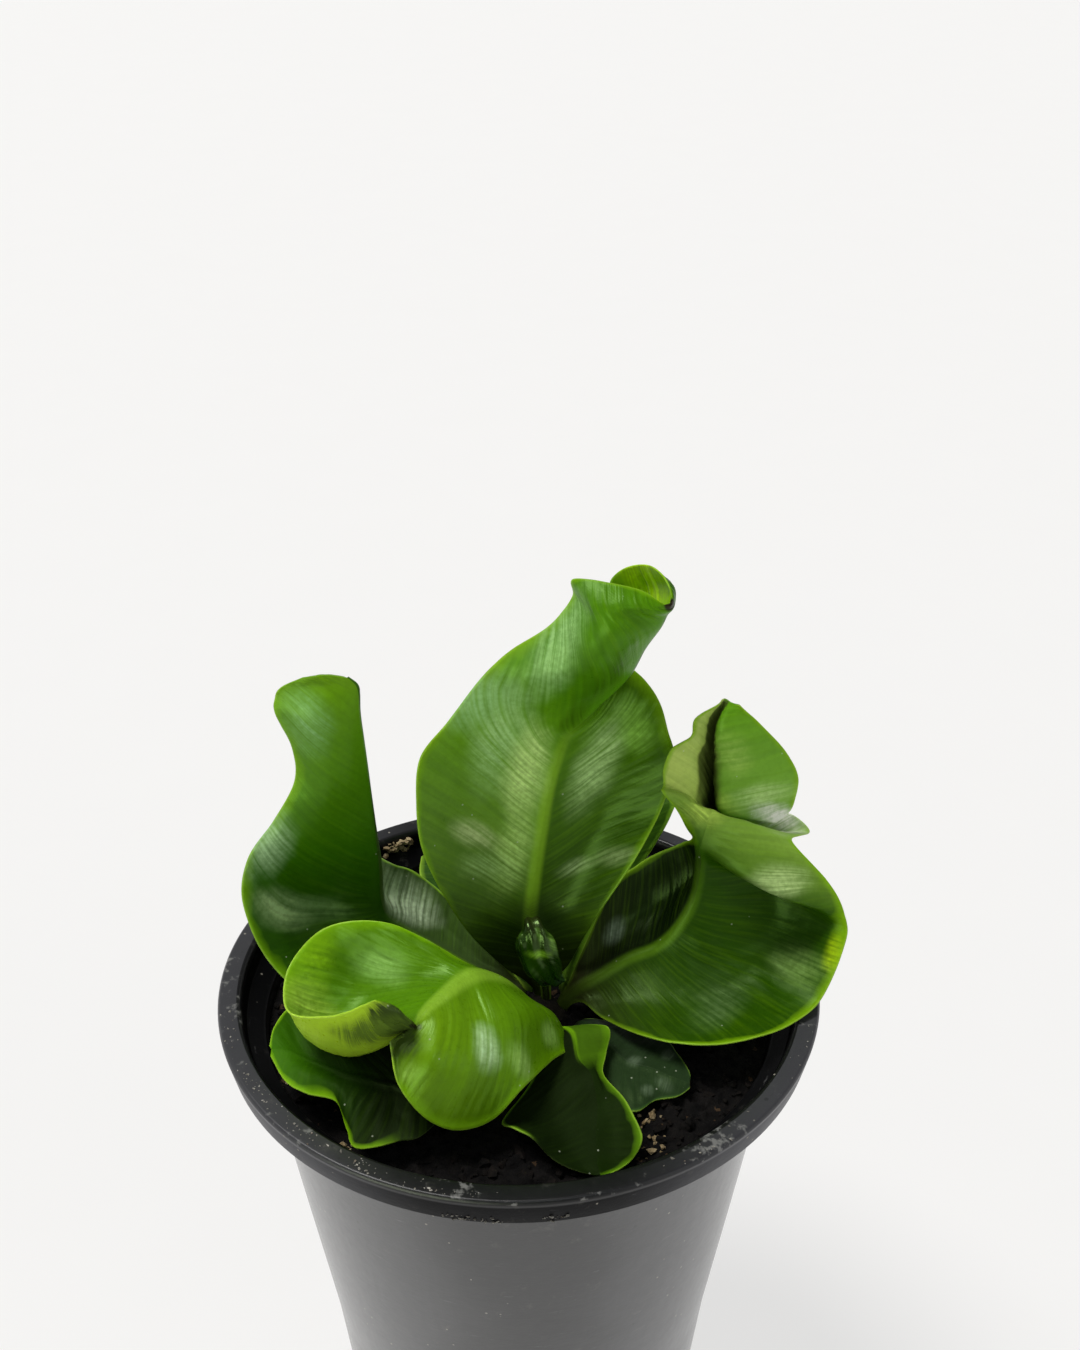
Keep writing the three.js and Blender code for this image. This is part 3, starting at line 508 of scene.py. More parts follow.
            ((8.4, -5, 3), (8.4, -5, 3), 1.6, 0.7, (80, 108, 76)),
            ((0.3, -3, 14), (1.2, -5, 9.5), 1.2, 0.8, (100, 146, 52)),
            ((4, -3, 15), (4.5, -4.5, 12.5), 1.0, 0.8, (110, 160, 60)),
        ],
    },
}


def smooth_step(values, low, high):
    share = np.clip((values - low) / (high - low), 0, 1)
    return share * share * (3 - 2 * share)


def soft_noise(first, second, seed, pitch):
    """Smooth bumps from about -1 to 1 whose size is about the pitch."""
    draw = np.random.default_rng(seed)
    total = np.zeros(np.broadcast(first, second).shape)
    for _ in range(9):
        turn = draw.uniform(0, 2 * math.pi)
        rate = 2 * math.pi / pitch * draw.uniform(0.6, 1.4)
        shift = draw.uniform(0, 2 * math.pi)
        total += np.sin(rate * (first * math.cos(turn) + second * math.sin(turn)) + shift)
    return total / 3.2


def along(points, shares):
    """Points on a smooth curve through a list of points, at shares from 0 to 1 of its length in points."""
    last = len(points) - 1
    place = np.minimum(np.asarray(shares) * last, last - 1e-9)
    step = np.floor(place).astype(int)
    t = (place - step).reshape((-1,) + (1,) * (points.ndim - 1))
    first = 2 * points[0] - points[1]
    beyond = 2 * points[-1] - points[-2]
    padded = np.concatenate([first[None], points, beyond[None]])
    a, b, c, d = (padded[step + offset] for offset in range(4))
    bend = 2 * a - 5 * b + 4 * c - d
    twist = 3 * b - a - 3 * c + d
    return 0.5 * (2 * b + (c - a) * t + bend * t**2 + twist * t**3)


def unit(vectors):
    return vectors / np.linalg.norm(vectors, axis=-1, keepdims=True)


def bow_point(middle, edge, heading, bow, side):
    if isinstance(bow, tuple):
        return np.array(bow, float)
    chord = edge - middle
    return middle + chord / 2 + side * bow * unit(np.cross(chord, heading))


def frond_lines(ribs):
    """The five lines that a frond follows: left edge, left bow, midrib, right bow, right edge."""
    middles, lefts, rights = (np.array([rib[i] for rib in ribs], float) for i in range(3))
    after = np.concatenate([middles[1:], middles[-1:]])
    before = np.concatenate([middles[:1], middles[:-1]])
    headings = unit(after - before)
    left_bows = [bow_point(middles[i], lefts[i], headings[i], rib[3], -1) for i, rib in enumerate(ribs)]
    right_bows = [bow_point(middles[i], rights[i], headings[i], rib[4], 1) for i, rib in enumerate(ribs)]
    return np.stack([lefts, np.array(left_bows), middles, np.array(right_bows), rights])


def name_seed(name):
    return sum(ord(letter) for letter in name)


def frond_grid(name, look):
    """The frond's middle surface as rows of points from the left edge to the right edge."""
    lines = frond_lines(FRONDS[name])
    shares = np.linspace(0, 1, look["rows"] + 1)
    ribs = along(lines.transpose(1, 0, 2), shares)
    half = np.linspace(-0.5, 0.5, look["columns"] + 1)
    reach = WOBBLE_COUNT * WOBBLE_PITCH * shares
    left, right = (
        1 - EDGE_WOBBLE * (1 + soft_noise(reach, 0 * reach, name_seed(name) + side, WOBBLE_PITCH))
        for side in (0, 1)
    )
    widths = [np.where(half < 0, left[row], right[row]) for row in range(len(ribs))]
    return np.array([along(rib, 0.5 + half * width) for rib, width in zip(ribs, widths)])


def measure(grid):
    """Distances in mm: signed across from the midrib, in from the margin, and along each half."""
    steps = np.linalg.norm(np.diff(grid, axis=1), axis=2)
    travelled = np.concatenate([np.zeros((len(grid), 1)), np.cumsum(steps, axis=1)], axis=1)
    middle = grid.shape[1] // 2
    across = travelled - travelled[:, middle : middle + 1]
    margin = np.where(across < 0, travelled, travelled[:, -1:] - travelled)
    run = np.empty(across.shape)
    for columns, quarter in ((slice(0, middle), middle // 2), (slice(middle, None), middle + middle // 2)):
        line = grid[:, quarter]
        lengths = np.linalg.norm(np.diff(line, axis=0), axis=1)
        run[:, columns] = np.concatenate([[0], np.cumsum(lengths)])[:, None]
    return across, margin, run


def relief(name, look, across, margin, run, shares):
    """Low ripples along the side veins and a soft crumple, in mm towards the upper face."""
    seed = name_seed(name) + 7
    reach = np.abs(across)
    low_slant, high_slant = look["slant"]
    slant = low_slant + (high_slant - low_slant) * smooth_step(shares, *SLANT_CHANGE)[:, None]
    vein = run - slant * reach
    side = np.sign(across) * HALVES_APART
    stretch = 1.1 * soft_noise(vein + side, across, seed, STRETCH_PITCH)
    ripple = np.sin(2 * math.pi * vein / look["ripple_pitch"] + 2.2 * stretch)
    patches = 0.55 + 0.45 * soft_noise(vein + side, across, seed + 1, PATCH_PITCH)
    window = smooth_step(reach, 1.5, 5.5) * smooth_step(margin, 0.6, 3.5)
    ripples = 0.6 * look["ripple"] * ripple * patches * window
    pleats = look["pleat"] * np.cos(2 * math.pi * across / PLEAT_PITCH)
    broad = 0.12 * soft_noise(run + side, across, seed + 2, CRUMPLE_PITCH)
    fine = 0.025 * soft_noise(run, across, seed + 3, FINE_CRUMPLE_PITCH)
    crumple = (broad + fine) * smooth_step(reach, 0.5, 6)
    grown = smooth_step(shares, 0.12, 0.3)[:, None]
    return grown * (pleats + ripples + crumple)


def bell(values, width):
    """A bump that is 1 at zero and dies out over a width."""
    return np.exp(-((values / width) ** 2))


def frond_faces(name, look, grid, across, margin, run):
    """The frond's upper and lower face as grids of points, and the direction across it at each point."""
    shares = np.linspace(0, 1, len(grid))
    sideways = unit(np.gradient(grid, axis=1))
    lengthways = unit(np.gradient(grid, axis=0))
    up = unit(np.cross(sideways, lengthways))
    height = relief(name, look, across, margin, run, shares)
    keel = KEEL * np.maximum(0, 1 - shares / look["keel_end"])[:, None] * bell(across, KEEL_REACH)
    rise = look["ridge"] * RIDGE * np.clip(1.15 * (1 - shares), 0.12, 1)[:, None]
    ridge = rise * bell(across, 0.62 * look["rib_width"])
    dip = 0.5 * rise * bell(np.abs(across) - 1.7 * look["rib_width"], look["rib_width"])
    thickness = BLADE_EDGE + (BLADE_MIDDLE - BLADE_EDGE) * smooth_step(margin, 0, BLADE_TAPER)
    upper = grid + up * (height + thickness / 2 + ridge - dip)[..., None]
    lower = grid + up * (height - thickness / 2 - keel - 0.4 * ridge)[..., None]
    return upper, lower, sideways


def ring_quads(index):
    """The four-sided faces between closed rings of point numbers."""
    turned = np.roll(index, -1, axis=1)
    return np.stack([index[:-1], turned[:-1], turned[1:], index[1:]], axis=-1).reshape(-1, 4).tolist()


def blade_faces(rows, columns):
    """Faces round a blade and over its ends. A ring holds the upper points, a rim point, the lower points
    backwards and the other rim point."""
    index = np.arange(rows * (2 * columns + 2)).reshape(rows, -1)
    faces = ring_quads(index)
    for row, is_tip in ((0, False), (rows - 1, True)):
        ring = index[row].tolist()
        top = ring[:columns]
        bottom = ring[columns + 1 : 2 * columns + 1][::-1]
        caps = [[top[i], top[i + 1], bottom[i + 1], bottom[i]] for i in range(columns - 1)]
        caps.append([top[-1], ring[columns], bottom[-1]])
        caps.append([bottom[0], ring[-1], top[0]])
        faces.extend(cap if is_tip else cap[::-1] for cap in caps)
    return faces


def around(upper, right, lower, left):
    return np.concatenate([upper, right, lower[:, ::-1], left], axis=1)


def frond_mesh(name, look):
    grid = frond_grid(name, look)
    across, margin, run = measure(grid)
    rows, columns = grid.shape[:2]
    upper, lower, sideways = frond_faces(name, look, grid, across, margin, run)
    centre = (upper + lower) / 2
    left_rim = centre[:, :1] - RIM_ROUND * sideways[:, :1]
    right_rim = centre[:, -1:] + RIM_ROUND * sideways[:, -1:]
    rings = around(upper, right_rim, lower, left_rim)
    points = rings.reshape(-1, 3) + np.array([0, 0, RIM_HEIGHT])
    edge = np.zeros((rows, 1))
    is_upper = np.ones((rows, columns))
    values = {
        "across": around(across, across[:, -1:], across, across[:, :1]),
        "margin": around(margin, edge, margin, edge),
        "run": around(run, run[:, -1:], run, run[:, :1]),
        "share": np.repeat(np.linspace(0, 1, rows)[:, None], rings.shape[1], axis=1),
        "face": around(is_upper, edge + 0.5, 0 * is_upper, edge + 0.5),
    }
    return new_piece(name, points, blade_faces(rows, columns), values)


def new_object(name, data):
    """An object in the scene that holds a mesh, a light or a camera."""
    holder = bpy.data.objects.new(name, data)
    bpy.context.scene.collection.objects.link(holder)
    return holder


def new_piece(name, points, faces, values=None, smooth=True):
    """A mesh object from points in mm above the pot's underside."""
    mesh = bpy.data.meshes.new(name)
    mesh.from_pydata((np.asarray(points) * MM).tolist(), [], faces)
    mesh.validate()
    mesh.update()
    for label, numbers in (values or {}).items():
        attribute = mesh.attributes.new(label, "FLOAT", "POINT")
        attribute.data.foreach_set("value", np.asarray(numbers, dtype=np.float32).ravel())
    if smooth:
        mesh.polygons.foreach_set("use_smooth", [True] * len(mesh.polygons))
    return new_object(name, mesh)


def in_scene(point):
    """A point in mm from the rim's centre, as metres from the centre of the pot's underside."""
    x, y, z = point
    return Vector((x, y, z + RIM_HEIGHT)) * MM


class Shader:
    """A small builder for one procedural material."""

    def __init__(self, name):
        self.material = bpy.data.materials.new(name)
        self.material.use_nodes = True
        self.tree = self.material.node_tree
        self.surface = self.tree.nodes["Principled BSDF"]
        self.place = self.tree.nodes.new("ShaderNodeTexCoord").outputs["Object"]
        self.colour = None

    def put(self, socket, value):
        if isinstance(value, bpy.types.NodeSocket):
            self.tree.links.new(value, socket)
        else:
            socket.default_value = value

    def node(self, kind, *values, **named):
        """A new node of a kind, with values or links on its first sockets and on the named ones."""
        node = self.tree.nodes.new("ShaderNode" + kind)
        for socket, value in zip(node.inputs, values):
            self.put(socket, value)
        for label, value in named.items():
            self.put(node.inputs[label], value)
        return node

    def math(self, operation, first, second=0.0, third=0.0, clamp=False):
        node = self.node("Math", first, second, third)
        node.operation = operation
        node.use_clamp = clamp
        return node.outputs[0]

    def times(self, first, second, clamp=False):
        return self.math("MULTIPLY", first, second, clamp=clamp)

    def less(self, first, second, clamp=False):
        return self.math("SUBTRACT", first, second, clamp=clamp)

    def over(self, first, second):
        return self.math("DIVIDE", first, second)

    def beyond(self, value, limit):
        return self.math("GREATER_THAN", value, limit)

    def scaled(self, value, factor, extra):
        """A value times a factor, plus something."""
        return self.math("MULTIPLY_ADD", value, factor, extra)

    def span(self, value, low, high, out_low=0.0, out_high=1.0):
        """A smooth change from one number to another while a value goes from low to high."""
        node = self.node("MapRange", value, low, high, out_low, out_high)
        node.interpolation_type = "SMOOTHSTEP"
        return node.outputs["Result"]

    def fade(self, value, low, high):
        return self.span(value, low, high, 1.0, 0.0)

    def mix(self, share, first, second, blend="MIX"):
        node = self.node("Mix")
        node.data_type = "RGBA"
        node.blend_type = blend
        self.put(node.inputs[0], share)
        self.put(node.inputs[6], first)
        self.put(node.inputs[7], second)
        return node.outputs[2]

    def paint(self, share, colour):
        """Lays a colour over what is painted so far."""
        self.colour = self.mix(share, self.colour, tone(*colour))

    def tint(self, share, colour):
        """Multiplies what is painted so far by a colour."""
        self.colour = self.mix(share, self.colour, self.mix(1.0, self.colour, tone(*colour), "MULTIPLY"))

    def attribute(self, name):
        node = self.node("Attribute")
        node.attribute_name = name
        return node.outputs["Fac"]

    def join(self, x, y, z=0.0):
        return self.node("CombineXYZ", x, y, z).outputs[0]

    def split(self, vector):
        return self.node("SeparateXYZ", vector).outputs

    def noise(self, scale, detail=3.0, roughness=0.55, place=None):
        place = self.place if place is None else place
        node = self.node("TexNoise", Vector=place, Scale=scale, Detail=detail, Roughness=roughness)
        return node.outputs["Fac"]

    def cells(self, scale):
        """Small cells that fill space: how far their centres are, and three random numbers for each."""
        node = self.node("TexVoronoi", Vector=self.place, Scale=scale)
        return node.outputs["Distance"], self.split(node.outputs["Color"])

    def vector(self, operation, first, second, output="Vector"):
        node = self.node("VectorMath", first, second)
        node.operation = operation
        return node.outputs[output]

    def stain(self, centre, radius):
        """A ragged patch round a point."""
        distance = self.vector("DISTANCE", self.place, in_scene(centre), "Value")
        ragged = self.scaled(self.noise(600), -0.7 * radius * MM, distance)
        return self.fade(ragged, 0.35 * radius * MM, 0.8 * radius * MM)

    def glow(self, start, end, radius):
        """A soft uneven patch that reaches from one point to another, for painted sheen and painted shade.
        """
        start, end = in_scene(start), in_scene(end)
        length = (end - start).length
        squeeze = 1 - (radius * MM / (radius * MM + length / 2)) ** 2
        offset = self.vector("SUBTRACT", self.place, (start + end) / 2)
        lengthways = self.vector("DOT_PRODUCT", offset, (end - start).normalized(), "Value")
        square = self.vector("DOT_PRODUCT", offset, offset, "Value")
        square = self.scaled(self.times(lengthways, lengthways), -squeeze, square)
        uneven = self.scaled(self.noise(150, 2), -0.5 * radius * MM, self.math("SQRT", square))
        return self.fade(uneven, -0.15 * radius * MM, 0.75 * radius * MM)

    def ramp(self, share, stops):
        node = self.node("ValToRGB", share)
        points = node.color_ramp.elements
        while len(points) < len(stops):
            points.new(0.5)
        for point, (position, colour) in zip(points, stops):
            point.position = position
            point.color = tone(*colour)
        return node.outputs[0]

    def bump(self, height, strength, distance, normal=None):
        below = {} if normal is None else {"Normal": normal}
        return self.node("Bump", Height=height, Strength=strength, Distance=distance, **below).outputs[0]

    def finish(self, roughness, normal, **fixed):
        sockets = {"Base Color": self.colour, "Roughness": roughness, "Normal": normal, **fixed}
        for label, value in sockets.items():
            self.put(self.surface.inputs[label.replace("_", " ")], value)
        return self.material


class Leaf(Shader):
    """The look of one frond, which follows the measures that its mesh carries."""

    def __init__(self, name, look):
        super().__init__(name + "_leaf")
        self.look = look
        self.margin = self.attribute("margin")
        self.share = self.attribute("share")
        self.face = self.attribute("face")
        across = self.attribute("across")
        self.reach = self.math("ABSOLUTE", across)
        self.is_right = self.beyond(across, 0.0)
        slant = self.span(self.share, *SLANT_CHANGE, *look["slant"])
        self.vein = self.less(self.attribute("run"), self.times(self.reach, slant))
        self.mottle = self.noise(900, 3, 0.6)
        self.lines = self.vein_noise(0.045, 1.25)
        self.broad = self.vein_noise(0.06, 0.42)

    def vein_noise(self, squeeze, scale):
        """Noise that is drawn out along the side veins."""
        return self.noise(scale, 2, 0.5, self.join(self.vein, self.times(self.reach, squeeze)))

    def by_side(self, left, right):
        return self.scaled(self.is_right, right - left, left)

    def paint_halves(self):
        left = self.ramp(self.share, self.look["left"])
        right = self.ramp(self.share, self.look["right"])
        self.colour = self.mix(self.is_right, left, right)
        cloud = self.span(self.noise(70, 4), 0.3, 0.72)
        self.tint(self.times(cloud, 0.4), CLOUD_TINT)

    def paint_veins(self):
        veins = self.look["veins"]
        away = self.span(self.reach, 0.8, 3.0)
        streak = self.times(self.span(self.lines, 0.42, 0.7), away)
        shade = self.times(self.span(self.broad, 0.4, 0.66), away)
        pale = self.mix(0.5, self.colour, tone(*self.look["margin"]))
        self.colour = self.mix(self.times(streak, 0.22 * veins), self.colour, pale)
        self.tint(self.times(shade, 0.2 * veins), VEIN_TINT)

    def margin_width(self):
        width = self.by_side(*self.look["margin_widths"])
        width = self.times(width, self.span(self.noise(110, 2), 0.3, 0.7, 0.6, 1.5))
        if "swell" not in self.look:
            return width
        centre, reach, factor = self.look["swell"]
        nearness = self.math("ABSOLUTE", self.less(self.share, centre))
        return self.times(width, self.span(nearness, 0.0, reach, factor, 1.0))

    def paint_margin(self):
        """A light band along the margin, with a paler line at the very edge."""
        start = self.look["margin_from"]
        shown = self.span(self.share, start - 0.04, start + 0.06, 0.0, 0.95)
        band = self.less(1.0, self.over(self.margin, self.margin_width()), clamp=True)
        band = self.times(self.math("POWER", band, 0.9), shown)
        if "right_end" in self.look:
            end = self.look["right_end"]
            left_out = self.times(self.is_right, self.span(self.share, end, end + 0.12))
            shown = self.times(shown, self.less(1.0, left_out))
            band = self.times(band, shown)
        self.paint(band, self.look["margin"])
        self.paint(self.times(self.span(self.margin, 0.0, 0.4, 0.45, 0.0), shown), EDGE_LINE_TONE)

    def paint_rib(self):
        width, end = self.look["rib_width"], self.look["rib_end"]
        narrowing = self.scaled(self.share, -0.62 * width, width)
        rib = self.fade(self.over(self.reach, narrowing), 0.35, 1.25)
        rib = self.times(rib, self.span(self.share, end - 0.12, end + 0.1, 0.85, 0.0))
        self.paint(rib, self.look["rib"])

    def paint_underside(self):
        upper = self.colour
        self.paint(self.look["under_share"], self.look["under"])
        keel = self.span(self.reach, 0.6, 2.6, 0.75, 0.0)
        self.paint(self.times(keel, self.fade(self.share, 0.3, 0.9)), KEEL_TONE)
        self.colour = self.mix(self.face, self.colour, upper)

    def paint_ends(self):
        tip = self.look["tip"]
        # The foot is darkened: partly its own brownish tone, partly painted shade near the crown.
        self.paint(self.span(self.share, 0.1, self.look["foot"], 0.85, 0.0), FOOT_TONE)
        ragged = self.scaled(self.noise(420), -0.03, self.share)
        self.brown = self.span(ragged, tip - 0.022, tip - 0.008)
        self.paint(self.brown, TIP_TONE)

    def paint_fold(self):
        # Painted shade in the slit inside a folded end.
        start, left_limit, right_limit, shade = self.look["fold"]
        part = self.over(self.reach, self.math("ADD", self.reach, self.margin))
        deep = self.fade(self.less(part, self.by_side(left_limit, right_limit)), -0.06, 0.02)
        deep = self.times(self.times(deep, self.face), self.span(self.share, start, start + 0.03))
        self.paint(self.times(deep, 0.9), shade)

    def paint_sheen(self):
        # Painted sheen and highlights, and painted shade where a patch is dark, broken up by the side veins
        # and the mottle.
        for start, end, radius, strength, colour in self.look["glows"]:
            patch = self.glow(start, end, radius)
            patch = self.times(patch, self.scaled(self.lines, 2.9, -0.55))
            patch = self.times(patch, self.scaled(self.mottle, 1.0, 0.45))
            self.paint(self.times(patch, strength, clamp=True), colour)

    def paint_blemishes(self):
        for centre, radius, colour in self.look["stains"]:
            self.paint(self.stain(centre, radius), colour)
        self.tint(self.span(self.mottle, 0.35, 0.62, 0.12, 0.0), MOTTLE_TINT)
        distance, drawn = self.cells(520)
        chosen = self.beyond(drawn[0], 0.94 - self.look["dusty"])
        self.speck = self.times(self.fade(distance, 0.07, 0.13), chosen)
        self.paint(self.times(self.speck, 0.42), LEAF_SPECK_TONE)

    def roughness(self):
        rough = self.scaled(self.noise(900, 2, 0.5), 0.16, 0.27 + self.look["dull"])
        rough = self.scaled(self.brown, 0.3, rough)
        return self.scaled(self.speck, 0.3, rough)

    def normal(self):
        normal = self.bump(self.lines, 0.35, 0.2 * MM)
        normal = self.bump(self.broad, 0.3, 0.4 * MM, normal)
        normal = self.bump(self.noise(2600, 3, 0.6), 0.25, 0.1 * MM, normal)
        return self.bump(self.noise(330), 0.2, 0.3 * MM, normal)


def frond_material(name, look):
    """Paints a frond's layers from the ground tone up."""
    leaf = Leaf(name, look)
    leaf.paint_halves()
    leaf.paint_veins()
    leaf.paint_margin()
    leaf.paint_rib()
    leaf.paint_underside()
    leaf.paint_ends()
    if "fold" in look:
        leaf.paint_fold()
    leaf.paint_sheen()
    leaf.paint_blemishes()
    fixed = {"Specular_IOR_Level": look["gloss"], "Specular_Tint": SHEEN_TINT}
    return leaf.finish(leaf.roughness(), leaf.normal(), **fixed)


def pot_outer_radius(height):
    """The outer wall's radius at a height above the pot's underside."""
    step_height = RIM_HEIGHT - STEP_DEPTH
    shoulder = SKIRT_FOOT
    if height > step_height:
        share = (height - step_height) / (shoulder - step_height)
        return STEP_RADIUS + share * (SHOULDER_RADIUS - STEP_RADIUS)
    return FOOT_RADIUS + height / step_height * (STEP_RADIUS - FOOT_RADIUS)


def rounded(profile, radius):
    """The outline with each sharp corner turned into a short curve."""
    points = [np.array(point, float) for point in profile]
    result = [points[0]]
    for before, corner, after in zip(points, points[1:], points[2:]):
        back = before - corner
        ahead = after - corner
        reach = min(radius, 0.4 * np.linalg.norm(back), 0.4 * np.linalg.norm(ahead))
        start = corner + unit(back) * reach
        end = corner + unit(ahead) * reach
        for share in (0, 0.25, 0.5, 0.75, 1):
            near = start * (1 - share) + corner * share
            far = corner * (1 - share) + end * share
            result.append(near * (1 - share) + far * share)
    result.append(points[-1])
    return np.array(result)


def with_steps(points, longest):
    """The outline with long straight stretches cut into shorter ones."""
    result = [points[0]]
    for start, end in zip(points, points[1:]):
        count = max(1, math.ceil(np.linalg.norm(end - start) / longest))
        result.extend(start + (end - start) * (i + 1) / count for i in range(count))
    return np.array(result)


def spin(profile, segments, shape=None):
    """Points and faces of a closed body made by turning an outline that starts and ends on the axis."""
    turns = np.linspace(0, 2 * math.pi, segments, endpoint=False)
    inner = profile[1:-1]
    radius = np.repeat(inner[:, :1], segments, axis=1)
    height = np.repeat(inner[:, 1:], segments, axis=1)
    if shape is not None:
        radius, height = shape(radius, height, turns[None, :])
    rings = np.stack([radius * np.cos(turns), radius * np.sin(turns), height], axis=-1)
    points = np.concatenate([[[0, 0, profile[0][1]]], rings.reshape(-1, 3), [[0, 0, profile[-1][1]]]])
    index = 1 + np.arange(len(inner) * segments).reshape(len(inner), segments)
    turned = np.roll(index, -1, axis=1)
    last = len(points) - 1
    faces = ring_quads(index)
    faces.extend([0, turned[0, i], index[0, i]] for i in range(segments))
    faces.extend([last, index[-1, i], turned[-1, i]] for i in range(segments))
    return points, faces


def pot_shape(radius, height, turns):
    """A thin moulded pot is never quite round."""
    near_rim = smooth_step(height, 60, RIM_HEIGHT)
    sag = 0.22 * np.sin(2 * turns + 0.7) + 0.12 * np.sin(3 * turns + 2.0) + 0.05 * np.sin(7 * turns)
    return radius + near_rim * (sag - 0.3), height


def pot_profile():
    rim_inner = RIM_RADIUS - RIM_TOP_WIDTH
    skirt_bottom = RIM_RADIUS - SKIRT_LEAN
    corners = [
        (0, 0),
        (BOSS_RADIUS, 0),
        (BOSS_RADIUS + 1.5, GROOVE_DEPTH),
        (FOOT_RING_INNER - 1.5, GROOVE_DEPTH),
        (FOOT_RING_INNER, 0),
        (FOOT_RADIUS - 1, 0),
        (FOOT_RADIUS, 1),
        (STEP_RADIUS, RIM_HEIGHT - STEP_DEPTH),
        (SHOULDER_RADIUS, SKIRT_FOOT - 0.5),
        (rim_inner + WALL - 0.6, SKIRT_FOOT + 2),
        (rim_inner + WALL, RIM_HEIGHT - WALL),
        (skirt_bottom - WALL + 0.6, RIM_HEIGHT - WALL),
        (skirt_bottom - WALL, SKIRT_FOOT),
        (skirt_bottom, SKIRT_FOOT),
        (RIM_RADIUS, RIM_HEIGHT - 0.7),
        (RIM_RADIUS - 0.5, RIM_HEIGHT),
        (rim_inner + 0.5, RIM_HEIGHT),
        (rim_inner, RIM_HEIGHT - 0.7),
        (rim_inner - 0.8, SKIRT_FOOT + 2.4),
        (SHOULDER_RADIUS - WALL, SKIRT_FOOT),
        (STEP_RADIUS - WALL, RIM_HEIGHT - STEP_DEPTH),
        (FOOT_RADIUS - WALL, FLOOR_TOP),
        (0, FLOOR_TOP),
    ]
    return with_steps(rounded(corners, ROUNDING), 6)


def polar(reach, turn):
    return reach * math.cos(turn), reach * math.sin(turn)


def cut_drains(piece):
    """Cuts the drain holes through the pot's floor."""
    rounds = bmesh.new()
    for i in range(DRAIN_COUNT):
        spot = Vector((*polar(DRAIN_CIRCLE, 2 * math.pi * i / DRAIN_COUNT), FLOOR_TOP / 2)) * MM
        bmesh.ops.create_cone(
            rounds,
            cap_ends=True,
            segments=32,
            radius1=DRAIN_RADIUS * MM,
            radius2=DRAIN_RADIUS * MM,
            depth=3 * FLOOR_TOP * MM,
            matrix=Matrix.Translation(spot),
        )
    mesh = bpy.data.meshes.new("drill")
    rounds.to_mesh(mesh)
    rounds.free()
    drill = new_object("drill", mesh)
    cut = piece.modifiers.new("drains", "BOOLEAN")
    cut.operation = "DIFFERENCE"
    cut.solver = "EXACT"
    cut.object = drill
    graph = bpy.context.evaluated_depsgraph_get()
    shaped = bpy.data.meshes.new_from_object(piece.evaluated_get(graph))
    piece.modifiers.clear()
    piece.data = shaped
    bpy.data.objects.remove(drill)


